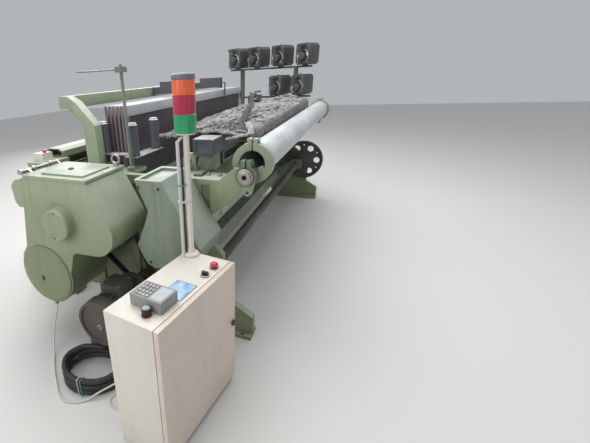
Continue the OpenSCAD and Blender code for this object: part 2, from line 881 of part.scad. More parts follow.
module stack_pole() {
  color("linen") at_cabinet() translate([pole_u, pole_v, cab_h]) difference() {
    rotate_extrude() polygon([
      [0, 0], [34, 0], [34, 5], [30, 11], [17, 17], [pole_r + 3, 28], [pole_r, 30],
      [pole_r, lens_z - cab_h - 8], [lens_r - 6, lens_z - cab_h - 6], [lens_r - 3, lens_z - cab_h], [0, lens_z - cab_h]
    ]);
    translate([0, 0, 40]) cylinder(h = lens_z - cab_h, r = pole_r - 3);
  }
}

module lens(i, high) {
  at_cabinet() translate([pole_u, pole_v, lens_z + i * lens_h]) difference() {
    cylinder(h = high, r = lens_r, $fn = 64);
    translate([0, 0, 2]) cylinder(h = high - 4, r = lens_r - 4);
  }
}

module stack_green() {
  color("green") lens(0, lens_h);
}

module stack_red() {
  color("crimson") lens(1, lens_h);
}

module stack_orange() {
  color("orangered") lens(2, lens_h - cap_skirt);
}

module stack_cap() {
  color("dimgray") at_cabinet() translate([pole_u, pole_v, lens_z + 3 * lens_h - cap_skirt])
    rotate_extrude($fn = 64) polygon([[0, 0], [lens_r + 1, 0], [lens_r + 1, 15], [lens_r - 5, 20], [0, 22]]);
}

// Cables: a tube swept along each route, each ring's axes carried on from the one before
function unit(v) = v / norm(v);

function bend_dir(p, i) =
  i == 0 ? p[1] - p[0] : i == len(p) - 1 ? p[i] - p[i - 1] : unit(p[i + 1] - p[i]) + unit(p[i] - p[i - 1]);

function ring_axes(p, i, last) =
  i == len(p) ? [] :
  let (u = unit(bend_dir(p, i)), s = unit(last - (last * u) * u))
  concat([[s, cross(u, s)]], ring_axes(p, i + 1, s));

module tube_along(p, r, n) {
  m = len(p);
  axes = ring_axes(p, 0, [0.2, 0.3, 1]);
  pts = [for (i = [0:m - 1], k = [0:n - 1])
    p[i] + r * (cos(360 * k / n) * axes[i][0] + sin(360 * k / n) * axes[i][1])];
  sides = [for (i = [0:m - 2], k = [0:n - 1])
    [i * n + k, i * n + (k + 1) % n, (i + 1) * n + (k + 1) % n, (i + 1) * n + k]];
  start = [for (k = [n - 1:-1:0]) k];
  end = [for (k = [0:n - 1]) (m - 1) * n + k];
  polyhedron(points = pts, faces = concat([start, end], sides), convexity = 6);
}

module stack_cable() {
  color("gainsboro") at_cabinet() {
    translate([pole_u - 26, pole_v + 22, cab_h]) cylinder(h = lens_z - cab_h - 30, r = 7);
    translate([pole_u - 26, pole_v + 22, cab_h]) cylinder(h = 10, r = 11);
    translate([pole_u - 26, pole_v + 22, lens_z - 34]) rotate([0, 42, -40]) cylinder(h = 28, r = 6);
    difference() {
      translate([pole_u - 13, pole_v + 11, 838]) rotate([0, 0, -40]) cube([52, 27, 6], center = true);
      translate([pole_u, pole_v, 830]) cylinder(h = 20, r = pole_r);
    }
  }
}

// Power cable: from the motor's pedestal, three turns down to the floor, then to the cabinet
power_route = [
  [-1640, -150, 96], [-1658, -150, 96], [-1678, -132, 95], [-1689, -88, 93], [-1705, -42, 90],
  [-1738, -14, 87], [-1778, -2, 84], [-1820, -18, 81], [-1854, -54, 79], [-1872, -100, 77],
  [-1876, -150, 75], [-1862, -200, 73], [-1832, -244, 71], [-1790, -268, 69], [-1745, -270, 67],
  [-1704, -246, 65], [-1676, -206, 62], [-1662, -156, 60], [-1664, -104, 58], [-1684, -56, 56],
  [-1716, -22, 54], [-1758, -2, 52], [-1802, -8, 50], [-1842, -36, 48], [-1868, -80, 47],
  [-1878, -130, 46], [-1872, -182, 45], [-1848, -230, 44], [-1812, -262, 43], [-1768, -278, 42],
  [-1724, -266, 39], [-1688, -232, 36], [-1666, -186, 33], [-1658, -136, 30], [-1670, -84, 27],
  [-1698, -40, 24], [-1736, -12, 20], [-1780, -2, 17], [-1824, -20, 15], [-1858, -58, 14],
  [-1876, -106, 14], [-1876, -160, 14], [-1856, -212, 14], [-1820, -254, 14], [-1774, -280, 14],
  [-1722, -296, 14], [-1682, -320, 14], [-1656, -354, 14], [-1644, -390, 18], [-1641, -424, 36],
  [-1645, -458, 49], [-1648, -482, 50]
];

// Signal cable: from the drive housing to the floor, along the coil, back, and to the cabinet
signal_route = [
  [-1590, 220, 205], [-1590, 220, 190], [-1600, 218, 170], [-1617, 212, 150], [-1636, 206, 129],
  [-1654, 200, 105], [-1672, 192, 80], [-1690, 182, 55], [-1708, 170, 32], [-1728, 154, 14],
  [-1746, 136, 6], [-1768, 116, 5], [-1790, 96, 5], [-1812, 72, 5], [-1834, 48, 5],
  [-1856, 22, 5], [-1882, -10, 5], [-1908, -42, 5], [-1928, -74, 5], [-1940, -104, 5],
  [-1942, -130, 5], [-1934, -156, 5], [-1922, -178, 5], [-1908, -196, 7], [-1894, -212, 13],
  [-1880, -230, 24], [-1864, -248, 35], [-1846, -266, 43], [-1824, -284, 48], [-1800, -298, 50],
  [-1776, -308, 48], [-1756, -316, 40], [-1740, -324, 28], [-1730, -334, 16], [-1728, -346, 8],
  [-1736, -356, 5], [-1750, -356, 5], [-1766, -346, 5], [-1784, -330, 5], [-1804, -314, 5],
  [-1824, -302, 5], [-1844, -296, 5], [-1862, -300, 5], [-1876, -312, 5], [-1884, -330, 5],
  [-1884, -350, 5], [-1877, -370, 7], [-1868, -388, 16], [-1860, -406, 30], [-1857, -428, 42],
  [-1861, -452, 45]
];

module power_cable() {
  color("black") translate([mid_x, 0, 0]) tube_along(power_route, 13, 10);
}

module signal_cable() {
  color("gainsboro") translate([mid_x, 0, 0]) tube_along(signal_route, 4, 8);
}

// Weaver's push-button station on the breast beam's near end
module button_station() {
  color("linen") difference() {
    union() {
      block([-1180, 560, 862], [-1090, 640, 866]);
      block([-1175, 570, 866], [-1095, 650, 906]);
    }
    rod_z(888, 907, -1135, 590, 8.5 + run_gap);
  }
}

module station_button() {
  color("red") translate([mid_x - 1135, 590, 898]) rotate_extrude()
    polygon([[0, 0], [8.5, 0], [8.5, 14], [14, 15], [16, 18], [15, 24], [0, 27]]);
}

near_side_frame();
far_side_frame();
cross_beams();
rear_tie_bar();
near_rear_arm();
far_rear_arm();
drive_housing();
housing_lid();
shaft_cover();
round_cover();
slanted_guard();
far_drive_housing();
harness_arch();
frame_guides();
post_shelf();
guide_rod();
stop_motion();
warp_sheet();
breast_beam();
motor_housing();
drive_belt();
feeder_stand();
cabinet_body();
cabinet_gear();
instrument_box();
stack_pole();
stack_green();
stack_red();
stack_orange();
stack_cap();
stack_cable();
button_station();
power_cable();
signal_cable();
backrest_tube();
near_end_ring();
far_end_ring();
take_up_roller();
pressure_roller();
cloth_roller();
sley();
reed();
harness_frame_1();
harness_frame_2();
harness_frame_3();
harness_frame_4();
harness_frame_5();
harness_frame_6();
main_shaft();
motor_pulley();
beam_disc();
cabinet_door();
door_latch();
stop_button();
selector_switch();
control_knob();
station_button();
feeder_ring_1();
feeder_ring_2();
feeder_ring_3();
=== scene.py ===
import bpy
import json
import math
import random
from mathutils import Matrix, Vector, noise

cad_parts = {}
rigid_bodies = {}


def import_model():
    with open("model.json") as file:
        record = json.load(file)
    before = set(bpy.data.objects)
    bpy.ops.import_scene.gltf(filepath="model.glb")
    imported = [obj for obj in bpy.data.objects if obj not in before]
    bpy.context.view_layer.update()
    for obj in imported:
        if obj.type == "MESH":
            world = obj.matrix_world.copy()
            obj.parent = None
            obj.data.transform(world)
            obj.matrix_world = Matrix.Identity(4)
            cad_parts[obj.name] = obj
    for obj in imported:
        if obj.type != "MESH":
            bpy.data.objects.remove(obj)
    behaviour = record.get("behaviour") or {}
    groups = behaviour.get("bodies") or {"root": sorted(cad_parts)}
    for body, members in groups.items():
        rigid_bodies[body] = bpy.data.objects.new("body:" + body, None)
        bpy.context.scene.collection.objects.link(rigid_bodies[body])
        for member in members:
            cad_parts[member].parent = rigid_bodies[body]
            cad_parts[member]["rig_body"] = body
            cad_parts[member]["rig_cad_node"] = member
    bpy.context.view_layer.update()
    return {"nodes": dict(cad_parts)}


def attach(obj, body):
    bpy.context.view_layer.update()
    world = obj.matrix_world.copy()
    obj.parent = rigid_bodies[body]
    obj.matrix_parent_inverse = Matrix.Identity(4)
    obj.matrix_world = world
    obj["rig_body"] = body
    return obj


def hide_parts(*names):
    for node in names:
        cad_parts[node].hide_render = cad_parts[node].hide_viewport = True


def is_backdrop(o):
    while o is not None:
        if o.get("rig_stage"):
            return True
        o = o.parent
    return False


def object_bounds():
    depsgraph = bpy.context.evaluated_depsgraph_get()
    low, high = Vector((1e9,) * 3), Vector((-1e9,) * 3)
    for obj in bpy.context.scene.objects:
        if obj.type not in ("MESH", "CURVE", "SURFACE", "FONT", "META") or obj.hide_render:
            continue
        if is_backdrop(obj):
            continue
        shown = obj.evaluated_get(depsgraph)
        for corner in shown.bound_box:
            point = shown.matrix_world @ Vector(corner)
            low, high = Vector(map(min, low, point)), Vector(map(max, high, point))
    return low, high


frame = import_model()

nodes = frame["nodes"]
loomMiddle = 0.128          # x of the loom's middle, in metres


# Picking, placing and finishing
def deselectAll():
    if bpy.context.object and bpy.context.object.mode != "OBJECT":
        bpy.ops.object.mode_set(mode="OBJECT")
    bpy.ops.object.select_all(action="DESELECT")


def pick(*pieces):
    deselectAll()
    for piece in pieces:
        piece.select_set(True)
    bpy.context.view_layer.objects.active = pieces[0]


def bake(piece):
    # its place goes into its mesh
    pick(piece)
    bpy.ops.object.transform_apply(location=True, rotation=True, scale=True)


def finishPiece(piece, name, look, body="loom", replaced=()):
    bake(piece)
    piece.name = name
    piece.data.name = name
    piece.data.materials.clear()
    piece.data.materials.append(finish[look])
    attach(piece, body)
    if replaced:
        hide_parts(*replaced)
    return piece


def toLoom(x, y, z):
    # millimetres from the loom's middle become a place in metres
    return Vector((x / 1000 + loomMiddle, y / 1000, z / 1000))


# New pieces
def addBox(low, high):
    deselectAll()
    bpy.ops.mesh.primitive_cube_add(size=1, location=[(a + b) / 2 for a, b in zip(low, high)])
    piece = bpy.context.object
    piece.scale = [b - a for a, b in zip(low, high)]
    bake(piece)
    return piece


def addRound(radius, depth, place, sides=32, turn=(0, 0, 0)):
    deselectAll()
    bpy.ops.mesh.primitive_cylinder_add(
        vertices=sides, radius=radius, depth=depth, location=place, rotation=turn,
    )
    piece = bpy.context.object
    bake(piece)
    return piece


def newCurve(name, radius, facets=0):
    deselectAll()
    bpy.ops.curve.primitive_bezier_curve_add()
    piece = bpy.context.object
    piece.name = name
    piece.data.splines.clear()
    piece.data.dimensions = "3D"
    piece.data.bevel_depth = radius
    piece.data.bevel_resolution = facets
    piece.data.use_fill_caps = True
    return piece


def copyPiece(piece):
    pick(piece)
    bpy.ops.object.duplicate()
    return bpy.context.object


def joinPieces(pieces):
    pick(*pieces)
    bpy.ops.object.join()
    return bpy.context.object


# Shaping in edit mode: a test takes a face's centre and its normal
def selectFaces(piece, test):
    pick(piece)
    bpy.ops.object.mode_set(mode="EDIT")
    bpy.ops.mesh.select_mode(type="FACE")
    bpy.ops.mesh.select_all(action="DESELECT")
    bpy.ops.object.mode_set(mode="OBJECT")
    chosen = 0
    for face in piece.data.polygons:
        face.select = bool(test(face.center, face.normal))
        chosen += face.select
    bpy.ops.object.mode_set(mode="EDIT")
    return chosen


def moveTop(piece, rim, rise):
    # the top face is inset, then raised or sunk
    selectFaces(piece, lambda centre, normal: normal.z > 0.5)
    bpy.ops.mesh.inset(thickness=rim)
    bpy.ops.transform.translate(value=(0, 0, rise))
    bpy.ops.object.mode_set(mode="OBJECT")


def openHole(piece, axis, rim):
    # both faces across an axis are inset and bridged
    selectFaces(piece, lambda centre, normal: abs(normal[axis]) > 0.5)
    bpy.ops.mesh.inset(thickness=rim)
    bpy.ops.mesh.bridge_edge_loops()
    bpy.ops.object.mode_set(mode="OBJECT")


def swell(strip, cuts, axis, growth):
    # a strip is cut across at some heights and grows at the middle one
    pick(strip)
    bpy.ops.object.mode_set(mode="EDIT")
    for z in cuts:
        bpy.ops.mesh.select_all(action="SELECT")
        bpy.ops.mesh.bisect(plane_co=toLoom(0, 0, z), plane_no=(0, 0, 1))
    bpy.ops.object.mode_set(mode="OBJECT")
    level = cuts[len(cuts) // 2] / 1000
    corners = strip.data.vertices
    middle = sum(corner.co[axis] for corner in corners) / len(corners)
    for corner in corners:
        if abs(corner.co.z - level) < 0.001:
            corner.co[axis] += math.copysign(growth, corner.co[axis] - middle)


def softenEdges(piece, width, segments=2, angle=32):
    pick(piece)
    edge = piece.modifiers.new("edge", "BEVEL")
    edge.width = width
    edge.segments = segments
    edge.limit_method = "ANGLE"
    edge.angle_limit = math.radians(angle)
    bpy.ops.object.modifier_apply(modifier="edge")
    bpy.ops.object.shade_smooth_by_angle(angle=math.radians(34))


def repeatRow(piece, count, step):
    pick(piece)
    row = piece.modifiers.new("row", "ARRAY")
    row.count = count
    row.use_relative_offset = False
    row.use_constant_offset = True
    row.constant_offset_displace = step
    bpy.ops.object.modifier_apply(modifier="row")


def splitOff(piece, name, look, test):
    # part of a piece gets its own finish
    if not selectFaces(piece, test):
        raise RuntimeError("nothing to split off for " + name)
    before = set(bpy.data.objects)
    bpy.ops.mesh.separate(type="SELECTED")
    bpy.ops.object.mode_set(mode="OBJECT")
    part = (set(bpy.data.objects) - before).pop()
    return finishPiece(part, name, look, body=piece["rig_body"])


# Camera: the photograph's place and lens, turned slightly so that less shift is left
view = {
    "place": (-2.620, -1.163, 1.306),
    "headingDeg": -62.75,
    "tiltDeg": 67.972,
    "rollDeg": -3.246,
    "lens": 22.176,
    "shift": 0.19,
}


def makeCamera():
    bpy.ops.object.camera_add()
    camera = bpy.context.object
    camera.name = "photoCamera"
    turn = Matrix.Rotation(math.radians(view["headingDeg"]), 4, "Z")
    tilt = Matrix.Rotation(math.radians(view["tiltDeg"]), 4, "X")
    roll = Matrix.Rotation(math.radians(view["rollDeg"]), 4, "Z")
    camera.matrix_world = Matrix.Translation(view["place"]) @ turn @ tilt @ roll
    camera.data.lens = view["lens"]
    camera.data.sensor_width = 36
    camera.data.shift_x = view["shift"]
    camera.data.clip_end = 60
    bpy.context.scene.camera = camera


print("camera")
makeCamera()


# Finishes: worn paint, castings, bare metal, plastics
def addNode(tree, kind, **values):
    made = tree.nodes.new(kind)
    for key, value in values.items():
        setattr(made, key, value)
    return made


def limit(tree, socket, low, high):
    limits = addNode(tree, "ShaderNodeMapRange")
    limits.inputs["From Min"].default_value = low
    limits.inputs["From Max"].default_value = high
    tree.links.new(socket, limits.inputs["Value"])
    return limits.outputs["Result"]


grains = {
    # detail of the noise, then its values that count as none and as all
    "fade": (4, 0.35, 0.65),
    "streaks": (5, 0.5, 0.75),
    "specks": (6, 0.56, 0.72),
    "dust": (4, 0.15, 0.55),
    "grime": (5, 0.2, 0.6),
    "wear": (5, 0.46, 0.6),
    "gloss": (4, 0.3, 0.7),
    "skin": (3, 0, 1),
}
masks = {
    # values that count as none and as all
    "edge": (0.985, 0.80),          # cosine between the two normals
    "hollow": (0.95, 0.25),         # share of open surroundings
    # the facing-up mask starts low enough to take in slopes, so it paints a sheen of reflected light
    # there as well as dust
    "facingUp": (0.25, 0.95),       # z of the normal
    "nearFloor": (0.85, 0.30),      # height in metres
}


def cloud(tree, grain, scale, stretch=(1, 1, 1)):
    detail, low, high = grains[grain]
    place = addNode(tree, "ShaderNodeTexCoord")
    mapping = addNode(tree, "ShaderNodeMapping")
    mapping.inputs["Scale"].default_value = stretch
    pattern = addNode(tree, "ShaderNodeTexNoise")
    pattern.inputs["Scale"].default_value = scale
    pattern.inputs["Detail"].default_value = detail
    pattern.inputs["Roughness"].default_value = 0.6
    tree.links.new(place.outputs["Object"], mapping.inputs["Vector"])
    tree.links.new(mapping.outputs["Vector"], pattern.inputs["Vector"])
    return limit(tree, pattern.outputs["Fac"], low, high)


def times(tree, a, b):
    made = addNode(tree, "ShaderNodeMath", operation="MULTIPLY", use_clamp=True)
    for socket, value in zip(made.inputs, (a, b)):
        if isinstance(value, (int, float)):
            socket.default_value = value
        else:
            tree.links.new(value, socket)
    return made.outputs["Value"]


def blendColour(tree, factor, a, b):
    made = addNode(tree, "ShaderNodeMix", data_type="RGBA")
    tree.links.new(factor, made.inputs[0])
    for socket, value in ((made.inputs[6], a), (made.inputs[7], b)):
        if isinstance(value, tuple):
            socket.default_value = (*value, 1)
        else:
            tree.links.new(value, socket)
    return made.outputs[2]


def edgeMask(tree, radius):
    # nearness to an edge, from the angle between the softened and the true normal
    softened = addNode(tree, "ShaderNodeBevel", samples=4)
    softened.inputs["Radius"].default_value = radius
    geometry = addNode(tree, "ShaderNodeNewGeometry")
    angle = addNode(tree, "ShaderNodeVectorMath", operation="DOT_PRODUCT")
    tree.links.new(softened.outputs["Normal"], angle.inputs[0])
    tree.links.new(geometry.outputs["Normal"], angle.inputs[1])
    return limit(tree, angle.outputs["Value"], *masks["edge"]), softened.outputs["Normal"]


def hollowMask(tree, reach):
    shade = addNode(tree, "ShaderNodeAmbientOcclusion", samples=6)
    shade.inputs["Distance"].default_value = reach
    return limit(tree, shade.outputs["AO"], *masks["hollow"])


def upwardMask(tree, source, mask):
    # from the z of a normal or a place
    parts = addNode(tree, "ShaderNodeSeparateXYZ")
    tree.links.new(source, parts.inputs["Vector"])
    return limit(tree, parts.outputs["Z"], *masks[mask])


plainLook = {
    # what a look has unless it says otherwise
    "metal": 0, "coat": 0, "clear": 0, "streaks": 0, "dust": 0, "hollows": 0, "edge": 0, "lowShade": None,
    "fadeScale": 3, "fadeStretch": (1, 1, 1), "streakScale": 1, "streakStretch": (26, 26, 2.2),
    "speckScale": 55, "dustScale": 7, "grimeScale": 14, "hollowReach": 0.08, "wearScale": 34,
    "edgeWear": 0.6, "glossScale": 9, "skin": 0.15, "skinDepth": 0.0006, "skinScale": 180,
}
# pale colour of dust, and of the painted sheen of reflected light on slopes
dustColour = (0.60, 0.64, 0.60)


def makeFinish(name, look):
    material = bpy.data.materials.new(name)
    material.use_nodes = True
    tree = material.node_tree
    shader = tree.nodes["Principled BSDF"]
    shader.inputs["Metallic"].default_value = look["metal"]
    shader.inputs["Coat Weight"].default_value = look["coat"]
    shader.inputs["Transmission Weight"].default_value = look["clear"]
    # cloudy change of the base colour, and painted shade that darkens it towards the floor
    fade = cloud(tree, "fade", look["fadeScale"], look["fadeStretch"])
    colour = blendColour(tree, fade, look["base"], look["faded"])
    if look["lowShade"]:
        place = addNode(tree, "ShaderNodeTexCoord").outputs["Object"]
        colour = blendColour(tree, upwardMask(tree, place, "nearFloor"), colour, look["lowShade"])
    # dirt in streaks, specks and hollows, dust with a painted sheen of reflected light on upward faces
    # and slopes, worn edges
    if look["streaks"]:
        runs = cloud(tree, "streaks", look["streakScale"], look["streakStretch"])
        colour = blendColour(tree, times(tree, runs, look["streaks"]), colour, look["dirt"])
    specks = cloud(tree, "specks", look["speckScale"])
    colour = blendColour(tree, times(tree, specks, look["specks"]), colour, look["dirt"])
    # pale on upward faces: real dust, and on slopes a painted reflection of the light from above
    if look["dust"]:
        normal = addNode(tree, "ShaderNodeNewGeometry").outputs["Normal"]
        dustAndSheenMask = times(tree, upwardMask(tree, normal, "facingUp"), look["dust"])
        dustAndSheenMask = times(tree, dustAndSheenMask, cloud(tree, "dust", look["dustScale"]))
        colour = blendColour(tree, dustAndSheenMask, colour, dustColour)
    if look["hollows"]:
        grime = times(tree, hollowMask(tree, look["hollowReach"]), look["hollows"])
        grime = times(tree, grime, cloud(tree, "grime", look["grimeScale"]))
        colour = blendColour(tree, grime, colour, look["dirt"])
    softened = None
    if look["edge"]:
        worn, softened = edgeMask(tree, look["edge"])
        worn = times(tree, worn, cloud(tree, "wear", look["wearScale"]))
        colour = blendColour(tree, times(tree, worn, look["edgeWear"]), colour, look["worn"])
    tree.links.new(colour, shader.inputs["Base Color"])
    # roughness and a fine skin
    gloss = addNode(tree, "ShaderNodeMapRange")
    gloss.inputs["To Min"].default_value, gloss.inputs["To Max"].default_value = look["rough"]
    tree.links.new(cloud(tree, "gloss", look["glossScale"]), gloss.inputs["Value"])
    tree.links.new(gloss.outputs["Result"], shader.inputs["Roughness"])
    skin = addNode(tree, "ShaderNodeBump")
    skin.inputs["Strength"].default_value = look["skin"]
    skin.inputs["Distance"].default_value = look["skinDepth"]
    tree.links.new(cloud(tree, "skin", look["skinScale"]), skin.inputs["Height"])
    if softened:
        tree.links.new(softened, skin.inputs["Normal"])
    tree.links.new(skin.outputs["Normal"], shader.inputs["Normal"])
    return material


def paint(base, faded, dirt, surface=plainLook, **own):
    # three colours, what its kind shares, and its own values
    return {**plainLook, **surface, **own, "base": base, "faded": faded, "dirt": dirt}


